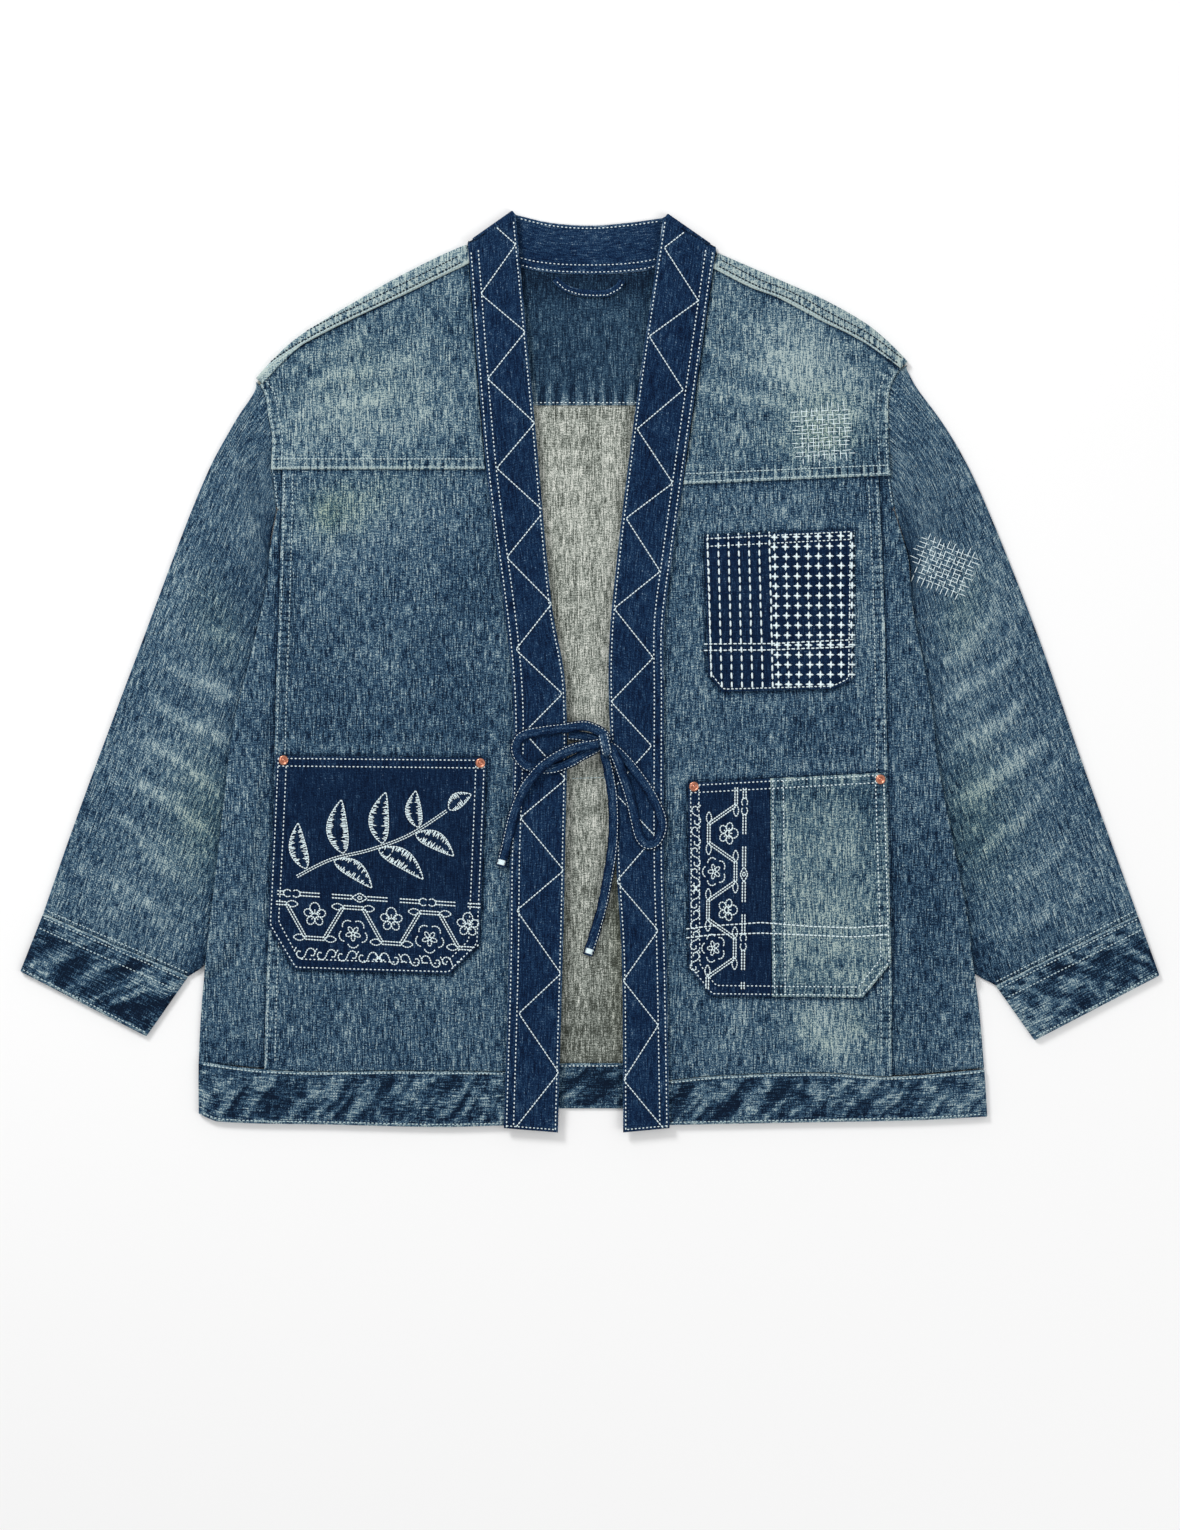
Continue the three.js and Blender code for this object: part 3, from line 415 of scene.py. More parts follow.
def denim(name, shades, contrast=1.0, twill=0.05, bump=0.5):
    """Woven indigo cloth: `shades` are the colours of a ramp from unworn to faded. The warp runs up the
    weave coordinate, and the fade and stain attributes say how worn and how marked it is; in places the
    fade attribute also holds painted shade and painted shadow."""
    material, nodes, links, shader = fresh(name)
    uv = nodes.new("ShaderNodeUVMap")
    uv.uv_map = "weave"

    def mapped(across, along):
        mapping = nodes.new("ShaderNodeMapping")
        mapping.inputs["Scale"].default_value = (1 / across, 1 / along, 1)
        links.new(uv.outputs["UV"], mapping.inputs["Vector"])
        return mapping.outputs["Vector"]

    def noisy(vector, detail=2.0):
        texture = nodes.new("ShaderNodeTexNoise")
        texture.inputs["Scale"].default_value = 1.0
        texture.inputs["Detail"].default_value = detail
        texture.inputs["Roughness"].default_value = 0.6
        links.new(vector, texture.inputs["Vector"])
        return texture.outputs["Fac"]

    def math_(kind, a, b=None, c=None):
        node = nodes.new("ShaderNodeMath")
        node.operation = kind
        for socket, value in zip(node.inputs, (a, b, c)):
            if value is None:
                continue
            if isinstance(value, (int, float)):
                socket.default_value = value
            else:
                links.new(value, socket)
        return node.outputs[0]

    def attribute(name_):
        node = nodes.new("ShaderNodeAttribute")
        node.attribute_name = name_
        return node.outputs["Fac"]

    warp = noisy(mapped(0.0011, 0.0115))
    weft = noisy(mapped(0.0052, 0.0010))
    speckle = noisy(mapped(0.0009, 0.0011))
    slub = noisy(mapped(0.0030, 0.0500))
    cloudy = noisy(mapped(0.022, 0.03), 3.0)
    lines = nodes.new("ShaderNodeTexWave")
    lines.wave_type = "BANDS"
    lines.inputs["Scale"].default_value = 1.0
    lines.inputs["Distortion"].default_value = 1.2
    links.new(mapped(0.0042, 0.0042), lines.inputs["Vector"])
    lines.bands_direction = "DIAGONAL"

    tone = 0.5
    for texture, share in ((warp, 1.7), (weft, 1.0), (speckle, 1.75), (slub, 0.3)):
        tone = math_("MULTIPLY_ADD", math_("SUBTRACT", texture, 0.5), share * contrast, tone)
    tone = math_("MULTIPLY_ADD", math_("SUBTRACT", cloudy, 0.5), 0.3, tone)
    tone = math_("MULTIPLY_ADD", math_("SUBTRACT", lines.outputs["Fac"], 0.5), twill, tone)
    tone = math_("ADD", tone, attribute("fade"))
    colours = nodes.new("ShaderNodeValToRGB")
    links.new(tone, colours.inputs["Fac"])
    elements = colours.color_ramp.elements
    for k, (place, colour) in enumerate(shades):
        element = elements[k] if k < len(elements) else elements.new(place)
        element.position = place
        element.color = (*colour, 1)
    marked = nodes.new("ShaderNodeMix")
    marked.data_type = "RGBA"
    marked.blend_type = "MULTIPLY"
    links.new(math_("MULTIPLY", attribute("stain"), 0.5), marked.inputs["Factor"])
    links.new(colours.outputs["Color"], marked.inputs[6])
    marked.inputs[7].default_value = (1.0, 1.0, 0.62, 1)
    links.new(marked.outputs[2], shader.inputs["Base Color"])
    shader.inputs["Roughness"].default_value = 0.95
    shader.inputs["Specular IOR Level"].default_value = 0.06

    grain = math_("ADD", warp, math_("MULTIPLY", weft, 0.8))
    grain = math_("MULTIPLY_ADD", speckle, 0.8, grain)
    grain = math_("MULTIPLY_ADD", lines.outputs["Fac"], 0.25, grain)
    bumped(nodes, links, shader, grain, bump, 0.0006)
    return material


def srgb(r, g, b):
    return tuple(((c / 255 + 0.055) / 1.055) ** 2.4 if c > 10 else c / 255 / 12.92 for c in (r, g, b))


BODY_SHADES = [(0.0, srgb(12, 25, 42)), (0.25, srgb(28, 52, 77)), (0.5, srgb(56, 86, 110)),
               (0.75, srgb(103, 129, 142)), (1.0, srgb(172, 187, 187))]
DARK_SHADES = [(0.0, srgb(5, 13, 32)), (0.3, srgb(12, 30, 57)), (0.55, srgb(21, 46, 77)),
               (0.8, srgb(50, 78, 105)), (1.0, srgb(130, 148, 162))]
RAW_SHADES = [(0.0, srgb(4, 10, 26)), (0.3, srgb(8, 23, 47)), (0.6, srgb(16, 37, 65)),
              (0.85, srgb(40, 66, 93)), (1.0, srgb(120, 136, 152))]
FACING_SHADES = [(0.0, srgb(10, 22, 38)), (0.3, srgb(22, 41, 62)), (0.55, srgb(42, 69, 92)),
                 (0.8, srgb(84, 110, 126)), (1.0, srgb(150, 166, 172))]
WRONG_SHADES = [(0.0, srgb(62, 66, 60)), (0.3, srgb(108, 114, 108)), (0.55, srgb(152, 158, 150)),
                (0.8, srgb(190, 194, 186)), (1.0, srgb(222, 223, 215))]
worn = denim("worn_denim", BODY_SHADES, 1.25)
dark = denim("collar_denim", DARK_SHADES, 0.8)
raw = denim("raw_denim", RAW_SHADES, 0.7)
lining = denim("facing_denim", FACING_SHADES, 0.9)
wrong = denim("wrong_side", WRONG_SHADES, 1.25, twill=0.02)


def plain(name, colour, rough, metal=0.0, grain=0.0004, contrast=0.25):
    material, nodes, links, shader = fresh(name)
    place = nodes.new("ShaderNodeTexCoord")
    texture = nodes.new("ShaderNodeTexNoise")
    texture.inputs["Scale"].default_value = 1 / grain
    texture.inputs["Detail"].default_value = 2
    links.new(place.outputs["Object"], texture.inputs["Vector"])
    colours = nodes.new("ShaderNodeValToRGB")
    colours.color_ramp.elements[0].position, colours.color_ramp.elements[1].position = 0.3, 0.7
    colours.color_ramp.elements[0].color = (*(c * (1 - contrast) for c in colour), 1)
    colours.color_ramp.elements[1].color = (*(min(c * (1 + contrast), 1) for c in colour), 1)
    links.new(texture.outputs["Fac"], colours.inputs["Fac"])
    links.new(colours.outputs["Color"], shader.inputs["Base Color"])
    bumped(nodes, links, shader, texture.outputs["Fac"], 0.3, 0.0002)
    shader.inputs["Roughness"].default_value = rough
    shader.inputs["Specular IOR Level"].default_value = 0.5 if metal else 0.08
    shader.inputs["Metallic"].default_value = metal
    return material


thread = plain("thread", srgb(230, 246, 252), 0.9, contrast=0.1)
thread_grey = plain("thread_worn", srgb(192, 212, 216), 0.9, contrast=0.15)
thread_blue = plain("thread_blue", srgb(16, 29, 50), 0.9)
copper = plain("copper", srgb(206, 140, 114), 0.3, 0.9, 0.0015, 0.3)

# Meshes -----------------------------------------------------------------------------------------

made = {}


def mesh_object(name, corners, faces, materials, face_slots=None, smooth=True):
    """corners in mm; faces as rows of corner numbers, all with as many corners."""
    mesh = bpy.data.meshes.new(name)
    count, size = faces.shape
    mesh.vertices.add(len(corners))
    mesh.vertices.foreach_set("co", (np.asarray(corners) * MM).astype(np.float32).ravel())
    mesh.loops.add(count * size)
    mesh.loops.foreach_set("vertex_index", faces.astype(np.int32).ravel())
    mesh.polygons.add(count)
    mesh.polygons.foreach_set("loop_start", np.arange(0, count * size, size, dtype=np.int32))
    mesh.polygons.foreach_set("use_smooth", np.full(count, smooth))
    for material in materials:
        mesh.materials.append(material)
    if face_slots is not None:
        mesh.polygons.foreach_set("material_index", face_slots.astype(np.int32))
    mesh.update(calc_edges=True)
    piece = placed(name, mesh)
    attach(piece, "root")
    made[name] = piece
    return piece


def attribute(piece, name, values):
    piece.data.attributes.new(name, "FLOAT", "POINT").data.foreach_set(
        "value", np.asarray(values, np.float32).ravel())


def weave_map(piece, faces, uv):
    layer = piece.data.uv_layers.new(name="weave")
    layer.data.foreach_set("uv", (uv[faces.ravel()] * MM).astype(np.float32).ravel())


def shell(name, node, at, out, thickness, weave, fade, stain=0.0, ring=False, has=None,
          inside=None, materials=(worn, wrong), raise_by=0.0):
    """A closed wall on a net: `at` and `out` are rows x columns x 3, and the other values per corner."""
    rows, columns = at.shape[:2]
    cells = np.ones((rows - 1, columns if ring else columns - 1), bool) if has is None else has
    out = out / np.linalg.norm(out, axis=2, keepdims=True)
    at = at + out * np.broadcast_to(raise_by, (rows, columns))[..., None]
    number = np.arange(rows * columns).reshape(rows, columns)
    if ring:
        number = np.hstack([number, number[:, :1]])
    a, b, c, d = (number[:-1, :-1], number[:-1, 1:], number[1:, 1:], number[1:, :-1])
    total = rows * columns
    loops = joined(a, b, c, d)[cells]

    padded = np.zeros((cells.shape[0] + 2, cells.shape[1] + 2), bool)
    padded[1:-1, 1:-1] = cells
    if ring:
        padded[1:-1, 0], padded[1:-1, -1] = cells[:, -1], cells[:, 0]
    rims = []
    for (start, end), beyond in (((a, b), padded[:-2, 1:-1]), ((b, c), padded[1:-1, 2:]),
                                 ((c, d), padded[2:, 1:-1]), ((d, a), padded[1:-1, :-2])):
        edge = cells & ~beyond
        rims.append(joined(end[edge], start[edge], start[edge] + total, end[edge] + total))
    rims = np.concatenate(rims)
    half = np.broadcast_to(thickness, (rows, columns)).ravel() / 2
    on_rim = np.zeros(total, bool)
    on_rim[rims[:, :2].ravel()] = True
    half = np.where(on_rim, 0.6 * half, half)
    flat_at, flat_out = at.reshape(-1, 3), out.reshape(-1, 3)
    corners = np.concatenate([flat_at + flat_out * half[:, None], flat_at - flat_out * half[:, None]])

    p, q, r = (corners[loops[:, k]] for k in (0, 1, 3))
    facing = np.einsum("ij,ij->i", np.cross(q - p, r - p), flat_out[loops[:, 0]])
    turned = facing.sum() < 0
    inner = loops[:, ::-1] + total
    faces = np.concatenate([loops, inner, rims])
    if turned:
        faces = faces[:, ::-1]
    slots = np.concatenate([np.zeros(len(loops)), np.ones(len(inner)), np.zeros(len(rims))])
    used, faces = np.unique(faces, return_inverse=True)
    faces = faces.reshape(-1, 4)

    piece = mesh_object(name, corners[used], faces, materials, slots)

    def both(values):
        return np.tile(np.broadcast_to(values, (rows, columns)).ravel(), 2)[used]

    fades = both(fade)
    if inside is not None:
        fades = np.where(used >= total, both(inside), fades)
    attribute(piece, "fade", fades)
    attribute(piece, "stain", both(stain))
    uv = joined(both(weave[0]), both(weave[1]))
    weave_map(piece, faces, uv)
    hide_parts(node)
    return piece


def up(shape):
    out = np.zeros((*shape, 3))
    out[..., 2] = 1
    return out


def half_turn(edge, away, base, outer_radius, thickness, parts):
    """Nodes of a fold from the lower layer to the upper: edge and away are rows x 2."""
    radius = outer_radius - thickness / 2
    angle = np.radians(np.linspace(-90, 90, parts + 1))
    run, rise = np.cos(angle), np.sin(angle)
    reach = radius * run - outer_radius
    at = np.zeros((len(edge), parts + 1, 3))
    out = np.zeros_like(at)
    for k in (0, 1):
        at[..., k] = edge[:, k, None] + away[:, k, None] * reach
        out[..., k] = away[:, k, None] * run
    at[..., 2] = np.asarray(base)[..., None] + outer_radius + radius * rise
    out[..., 2] = rise
    return at, out


# Back -------------------------------------------------------------------------------------------


def seam_line(x_of=None, y_of=None, low=0, high=0, step=8):
    """Points of a line of x for y, or of y for x, in the order from low to high."""
    places = np.linspace(low, high, max(2, int(abs(high - low) / step) + 1))
    return [(x_of(p), p) for p in places] if x_of else [(p, y_of(p)) for p in places]


def back_panel():
    parts, cell = 5, 3.4
    fold_radius = (STRIP_BASE + CLOTH) / 2
    low_rows = np.linspace(BACK_SEAM_Y, ARMPIT_Y, int((BACK_SEAM_Y - ARMPIT_Y) / cell))
    armpit = len(low_rows) - 1
    strip_top = int(np.argmin(np.abs(low_rows - 178)))
    below = np.linspace(ARMPIT_Y, HEM_LEVEL, int((ARMPIT_Y - HEM_LEVEL) / cell))[1:]
    heights = np.concatenate([low_rows, below])
    last = len(heights) - 1
    y = heights[:, None]
    halves = []
    for side in (right, left):
        is_open = heights > ARMPIT_Y
        edge = np.where(is_open, side.armhole(heights) - side.sign * GAP, side.side_fold(heights))
        flat = edge - side.sign * np.where(is_open, 0, fold_radius)
        slope = np.clip(side.sign * (flat - side.underarm_at(heights)) + 7, 7, 30)
        coarse = np.array([0, *np.linspace(0.25, 1, 4)])[None] * slope[:, None]
        fall = slope[:, None] + np.linspace(0, TUCK_RUN, 8)[None, 1:]
        rest = lerp((slope + TUCK_RUN)[:, None], (np.abs(flat) - 62)[:, None], np.linspace(0, 1, 24)[None, 1:])
        back_x = flat[:, None] - side.sign * np.hstack([coarse, fall, rest])
        seam = side.side_seam(heights)
        lap = seam - side.sign * LAP_WIDTH
        strip_count = 22
        strip_x = lerp(flat[:, None], seam[:, None], np.linspace(0, 1, strip_count)[None])
        strip_x = np.hstack([strip_x, lerp(seam[:, None], lap[:, None], np.array([[0.5, 1.0]]))])

        def node(x, is_back):
            depth = np.broadcast_to(y, x.shape).copy()
            depth[-1] = back_hem_seam(x[-1]) + GAP if is_back else side.hem_seam(x[-1]) + 4 * GAP
            at = joined(x, depth, lift(x, depth) + (0 if is_back else STRIP_BASE) + CLOTH / 2)
            return at, up(x.shape) * (-1 if is_back else 1)

        back, back_out = node(back_x, True)
        strip, strip_out = node(strip_x, False)
        strip[..., 2] += drape(strip[..., 0], strip[..., 1])
        turn_y = heights.copy()
        turn_y[-1] = side.hem_seam(edge[-1]) + GAP
        away = joined(np.full(last + 1, side.sign), np.zeros(last + 1))
        turn, turn_out = half_turn(joined(edge, turn_y), away, lift(edge, heights), fold_radius, CLOTH, parts)
        is_open = is_open[:, None]
        for k, source, source_out in ((0, back, back_out), (-1, strip, strip_out)):
            turn[:, k] = np.where(is_open, source[:, 0], turn[:, k])
            turn_out[:, k] = np.where(is_open, source_out[:, 0], turn_out[:, k])
        at = np.concatenate([back[:, :0:-1], turn, strip[:, 1:]], 1)
        out = np.concatenate([back_out[:, :0:-1], turn_out, strip_out[:, 1:]], 1)
        halves.append((at, out))
    (ra, ro), (la, lo) = halves
    middle_x = lerp(ra[:, :1, 0], la[:, :1, 0], np.linspace(0, 1, 40)[None, 1:-1])
    depth = np.broadcast_to(y, middle_x.shape).copy()
    depth[-1] = back_hem_seam(middle_x[-1]) + GAP
    middle = joined(middle_x, depth, np.full(middle_x.shape, CLOTH / 2))
    at = np.concatenate([ra[:, ::-1], middle, la], 1)
    out = np.concatenate([ro[:, ::-1], -up(middle_x.shape), lo], 1)
    columns = at.shape[1]
    strip_cells = 23
    # the strips begin at strip_top, and the side folds at the armpit
    cell_number = np.minimum(np.arange(columns - 1), columns - 2 - np.arange(columns - 1))[None]
    row_number = np.arange(last)[:, None]
    has = np.where(cell_number < strip_cells, row_number >= strip_top,
                   (cell_number >= strip_cells + parts) | (row_number >= armpit))
    x, yy = at[..., 0], at[..., 1]
    # the slow ripples of the inside, seen through the open front, lie on the surface's side only
    inside_wave = np.where(out[..., 2] < 0, 0.25 * (1 + noise(x, yy, (9, 40), 71)), 0) * (np.abs(x) < 110)
    fade = body_fade(x, yy) + 0.02
    fold_wear = dict(at=0, wide=5, rise=0.0, pale=0.10, rope=0.10)
    rise, wear = puckers(x, yy, [(Seam(seam_line(x_of=left.side_fold, low=-320, high=130)), fold_wear),
                                 (Seam(seam_line(x_of=right.side_fold, low=130, high=-320)), fold_wear)])
    # a painted shadow line on the strip beside each side seam, where the front panel's edge laps over it
    side_seam_painted_shadow = sum(
        -0.30 * bell(s.sign * (x - s.side_seam(yy)), 3.2) * (s.sign * x > 150) for s in (right, left))
    upper = out[..., 2] > 0.2
    fade = np.where(upper, fade + wear + side_seam_painted_shadow, fade)
    # towards the sides the inside is painted dark, as painted shade in the slit beside the sleeve, and carries
    # no stain there
    painted_shade_at_sides = ramp(np.abs(x), 120, 190)
    brown = ramp(np.abs(x + 3), 14, 30) * bell(yy + 140, 150) * (1 - painted_shade_at_sides)
    light = 0.10 * noise(x, yy, (5, 60), 72) + 0.10 * noise(x, yy, (60, 6), 73) + 0.05 * noise(x, yy, 40, 74)
    shade = (0.02 - 0.26 * (1 - ramp(yy, HEM_LEVEL, HEM_LEVEL + 300))
             - 0.10 * (1 - ramp(yy, HEM_LEVEL, HEM_LEVEL + 16)))
    piece = shell("back_panel_cloth", "back_panel", at, out, CLOTH, (x, yy), fade,
                  stain=np.where(out[..., 2] < 0, 0.5 * brown, body_stain(x, yy)), has=has,
                  inside=light + shade - 0.12 * brown - 0.6 * painted_shade_at_sides,
                  raise_by=np.where(upper, rise, -inside_wave))


back_panel()


def shoulder(x):
    def fold(places):
        return by_side(x, lambda s: s.shoulder_fold(places))

    seam = by_side(x, lambda s: s.shoulder_seam(x))
    edge = joined(x, fold(x))
    slope = (fold(x + 1) - fold(x - 1)) / 2
    away = joined(-slope, np.ones_like(slope)) / np.hypot(slope, 1)[:, None]
    width = np.maximum((edge[:, 1] - seam) * away[:, 1], 3 * SHOULDER_FOLD_RADIUS)
    return edge, away, width


def in_neck(x):
    return (x > right.neck_end + 0.1) & (x < left.neck_end - 0.1)


def back_yoke_surface(clear=0.0):
    def top(x):
        x = np.asarray(x, float)
        fold = by_side(x, lambda s: s.shoulder_fold(x))
        return np.where(in_neck(x), neck_seam(x) - GAP, fold - (clear or SHOULDER_FOLD_RADIUS))

    return patch(top, lambda x: BACK_SEAM_Y + (GAP if not clear else -LAP_WIDTH) + 0 * np.asarray(x, float),
                 lambda y: right.armhole(y) + (clear or GAP), lambda y: left.armhole(y) - (clear or GAP))


def back_yoke():
    surface = back_yoke_surface()
    start, end = float(surface(0.0, 0.0)[0]), float(surface(1.0, 0.0)[0])
    places = np.concatenate([np.linspace(start, right.neck_end, 80), np.linspace(NECK_RIGHT_X, NECK_LEFT_X, 60),
                             np.linspace(left.neck_end, end, 76)])
    edge, away, width = shoulder(places)
    parts = 5
    u = ((places - start) / (end - start))[:, None]
    x, y = surface(u, np.linspace(1, 0, 12)[None])
    flat = joined(x, y, np.full(x.shape, CLOTH / 2))
    turn, turn_out = half_turn(edge, away, np.zeros(len(places)), SHOULDER_FOLD_RADIUS, CLOTH, parts)
    reach = np.linspace(0, 1, 13)[None, 1:, None] * width[:, None, None]
    inward = SHOULDER_FOLD_RADIUS + (1 - SHOULDER_FOLD_RADIUS / width[:, None, None]) * reach
    strip_xy = edge[:, None] - away[:, None] * inward
    rise = lerp(FRONT_BASE, LAP_BASE, ramp(reach[..., 0], 0, 8))
    strip = np.concatenate([strip_xy, (rise + CLOTH / 2)[..., None]], -1)
    neck = in_neck(places)
    turn[neck, 0] = flat[neck, -1]
    at = np.concatenate([flat[:, :-1], turn, strip], 1)
    out = np.concatenate([-up(flat[:, :-1].shape[:2]), turn_out, up(strip.shape[:2])], 1)
    rows = np.arange(at.shape[1] - 1)[None]
    same = (neck[:-1] == neck[1:]) & ~neck[:-1] & (places[:-1] * places[1:] > 0)
    has = (rows < 11) | same[:, None]
    px, py = at[..., 0], at[..., 1]
    seams = [(Seam(seam_line(y_of=side.shoulder_seam, low=low, high=high)),
              dict(at=6.0, wide=2.8, rise=0.5, pitch=4.6, pale=0.75, rope=0.55, lean=lean, run=3))
             for side, low, high, lean in ((right, -270, -101, 0.6), (left, 101, 258, -0.6))]
    upper = out[..., 2] > 0.4
    height, wear = puckers(px, py, seams)
    fade = 0.33 + 0.06 * noise(px, py, (8, 12), 41) + np.where(upper, wear, 0)
    piece = shell("back_yoke_cloth", "back_yoke", at, out, CLOTH, (px, py), fade,
                  stain=0.2, has=has, raise_by=np.where(upper, height, 0))


back_yoke()


def back_yoke_facing():
    surface = back_yoke_surface(9.0)
    u, v = spaced(520, 3.2)[None], spaced(120, 3.0)[:, None]
    x, y = surface(u, v)
    at = joined(x, y, np.full(x.shape, BACK_TOP + GAP + CLOTH / 2))
    from_edge = y - (BACK_SEAM_Y - LAP_WIDTH)
    pleats = 0.5 + 0.5 * np.cos(2 * math.pi * x / 11 + 2 * noise(x, 0 * x, 26, 81))
    low = bell(from_edge, 17)
    near = np.abs(x) < 120
    ripple = 0.25 * (1 + noise(x, y, (16, 60), 82)) * ramp(from_edge, 0, 40)
    rise = near * (0.55 * pleats * low + ripple) * ramp(from_edge, 0, 4)
    fade = (0.06 + near * 0.60 * (ramp(pleats, 0.2, 0.9) - 0.4) * low + 0.06 * noise(x, y, (12, 50), 83)
            + 0.30 * bell(from_edge, 1.6))
    shade = -0.12 - 0.24 * ramp(y, 296, 326)
    piece = shell("back_yoke_facing_cloth", "back_yoke_facing", at, up(x.shape), CLOTH,
                  (x, y), fade + shade, raise_by=rise, materials=(lining, wrong))


back_yoke_facing()

# Fronts -----------------------------------------------------------------------------------------


def front_base(x, y):
    return FRONT_BASE + lift(x, y) + drape(x, y)


def front_panel(name, side):
    u, v = spaced(205, 2.6)[None], spaced(500, 2.6)[:, None]
    y = lerp(170, HEM_LEVEL, v) + 0 * u
    for _ in range(4):
        x = lerp(side.side_seam(y), side.band_outer(y) - side.sign * LAP_WIDTH, u)
        y = lerp(side.yoke_seam(x) + LAP_WIDTH, side.hem_seam(x) + GAP, v)
    edge = seam_line(x_of=side.side_seam, low=170, high=HEM_LEVEL) if side is right else \
        seam_line(x_of=side.side_seam, low=HEM_LEVEL, high=170)
    hem = seam_line(y_of=side.hem_seam, low=min(side.side_seam(-324), side.band_outer(-324)),
                    high=max(side.side_seam(-324), side.band_outer(-324)))
    under_yoke = seam_line(y_of=side.yoke_seam, low=max(side.side_seam(165), side.band_outer(165)),
                           high=min(side.side_seam(165), side.band_outer(165)))
    seams = [
        (Seam(edge), dict(at=5.2, wide=3.6, rise=0.5, pitch=6.2, pale=0.46, rope=0.30, run=4)),
        (Seam(hem), dict(at=3, wide=6, rise=0.7, pitch=9.0, pale=0.20, rope=0.05, run=12, reach=34)),
        # the negative rope here paints a shadow line under the yoke's lapped edge
        (Seam(under_yoke), dict(at=3, wide=5, rise=0.5, pitch=7.5, pale=0.14, rope=-0.2, run=12, reach=32)),
    ]
    height, wear = puckers(x, y, seams)
    at = joined(x, y, front_base(x, y) + CLOTH / 2)
    # the panel's fade also carries the painted shadows round the pockets
    fade = body_fade(x, y) + wear + pocket_painted_shadow_and_fade(x, y)
    piece = shell(f"front_panel_{name}_cloth", f"front_panel_{name}", at, up(x.shape), CLOTH,
                  (x, y), fade, stain=body_stain(x, y), raise_by=height)


# Pocket outlines, as rows of two edges.
POCKETS = {
    "pocket_lower_right": [[(-256.7, -67.2), (-84.5, -68.9)], [(-259.8, -136), (-87.2, -140)],
                           [(-263.2, -205.8), (-90.6, -221.4)], [(-241.5, -241.9), (-114.8, -245.6)]],
    "pocket_lower_left_dark": [[(80.4, -89.4), (147, -85.6)], [(80.8, -165), (147.8, -165)],
                               [(81.2, -241.1), (148.4, -243)], [(99.2, -263.5), (148.6, -264)]],
    "pocket_lower_left_pale": [[(147.4, -85.6), (241.9, -80.8)], [(148.2, -165), (244.2, -158)],
                               [(148.8, -240), (246.5, -236.2)], [(149, -264), (223, -264.9)]],
    "pocket_chest": [[(93.5, 112.3), (215.3, 118.1)], [(95.1, 58), (214.5, 57)],
                     [(96.8, -0.8), (213.6, -4.9)], [(108.2, -14.8), (199.3, -12.3)]],
}


def outline(rows):
    """A pocket's outline, with the pocket on its left."""
    return [row[0] for row in rows] + [row[1] for row in reversed(rows)] + [rows[0][0]]


LOWER_LEFT = [dark_row[:1] + pale_row[1:] for dark_row, pale_row in
              zip(POCKETS["pocket_lower_left_dark"], POCKETS["pocket_lower_left_pale"])]
POCKET_RIMS = [Seam(outline(rows)) for rows in
               (POCKETS["pocket_lower_right"], LOWER_LEFT, POCKETS["pocket_chest"])]


def pocket_painted_shadow_and_fade(x, y):
    """A painted shadow round each pocket on a panel: a dark line outside its rim and darker cloth under the
    pocket, with a slight fade beyond the line.
    """
    total = np.zeros(np.shape(x))
    for rim in POCKET_RIMS:
        hit, d, s, far = rim.near(x, y, 20)
        out = np.where(d < 0.4, far, 0)
        total[hit] += np.where(d < 0.4, -0.34 * bell(out, 2.4)
                               + 0.07 * bell(out - 9, 5) * (1 + np.sin(s * 0.9)), -0.2)
    return total


def front_yoke(name, side):
    def top(x):
        x = np.asarray(x, float)
        fold = side.shoulder_fold
        slope = (fold(x + 1) - fold(x - 1)) / 2
        lean = 1 / np.hypot(slope, 1)
        width = np.maximum((fold(x) - side.shoulder_seam(x)) * lean, 3 * SHOULDER_FOLD_RADIUS)
        return fold(x) - 0.87 * width / lean

    surface = patch(top, side.yoke_seam, side.armhole, lambda y: side.band_outer(y) + side.sign * 2 * GAP)
    u, v = spaced(180, 2.2)[:, None], spaced(170, 2.2)[None]
    x, y = surface(u, 1 - v)
    above = y - side.yoke_seam(x)
    base = lerp(LAP_BASE, FRONT_BASE, ramp(above, LAP_WIDTH + 3, LAP_WIDTH + 18))
    low, high = sorted([float(side.armhole(165)), float(side.band_outer(165))])
    seams = [(Seam(seam_line(y_of=side.yoke_seam, low=low, high=high)),
              dict(at=5.0, wide=3.3, rise=0.6, pitch=5.9, pale=0.80, rope=0.42, run=7, reach=30)),
             (Seam(seam_line(x_of=side.armhole, low=262 if side is right else 160,
                             high=160 if side is right else 262)),
              dict(at=5.0, wide=3.6, rise=0.4, pitch=5.8, pale=0.42, rope=0.36, run=5))]
    height, wear = puckers(x, y, seams)
    seam_y = side.shoulder_seam(x)
    # a dark line just below the shoulder seam is painted shadow from the back yoke's lapped edge, with a little
    # streaky wear beyond it
    under = -0.45 * bell(seam_y - y, 1.8) + 0.10 * bell(seam_y - y - 9, 7) * noise(x, y, (5, 30), 44)
    streaks = 0.05 * noise(x, y, (4.5, 34), 42) + 0.03 * noise(x, y, (30, 4.5), 43)
    at = joined(x, y, base + drape(x, y) + CLOTH / 2)
    fade = 0.07 + body_fade(x, y) + wear + under + streaks
    piece = shell(f"front_yoke_{name}_cloth", f"front_yoke_{name}", at, up(x.shape), CLOTH,
                  (x, y), fade, stain=body_stain(x, y) + 0.12, raise_by=height)


for side_name, one in SIDES.items():
    front_panel(side_name, one)
    front_yoke(side_name, one)

# Sleeves and cuffs ------------------------------------------------------------------------------


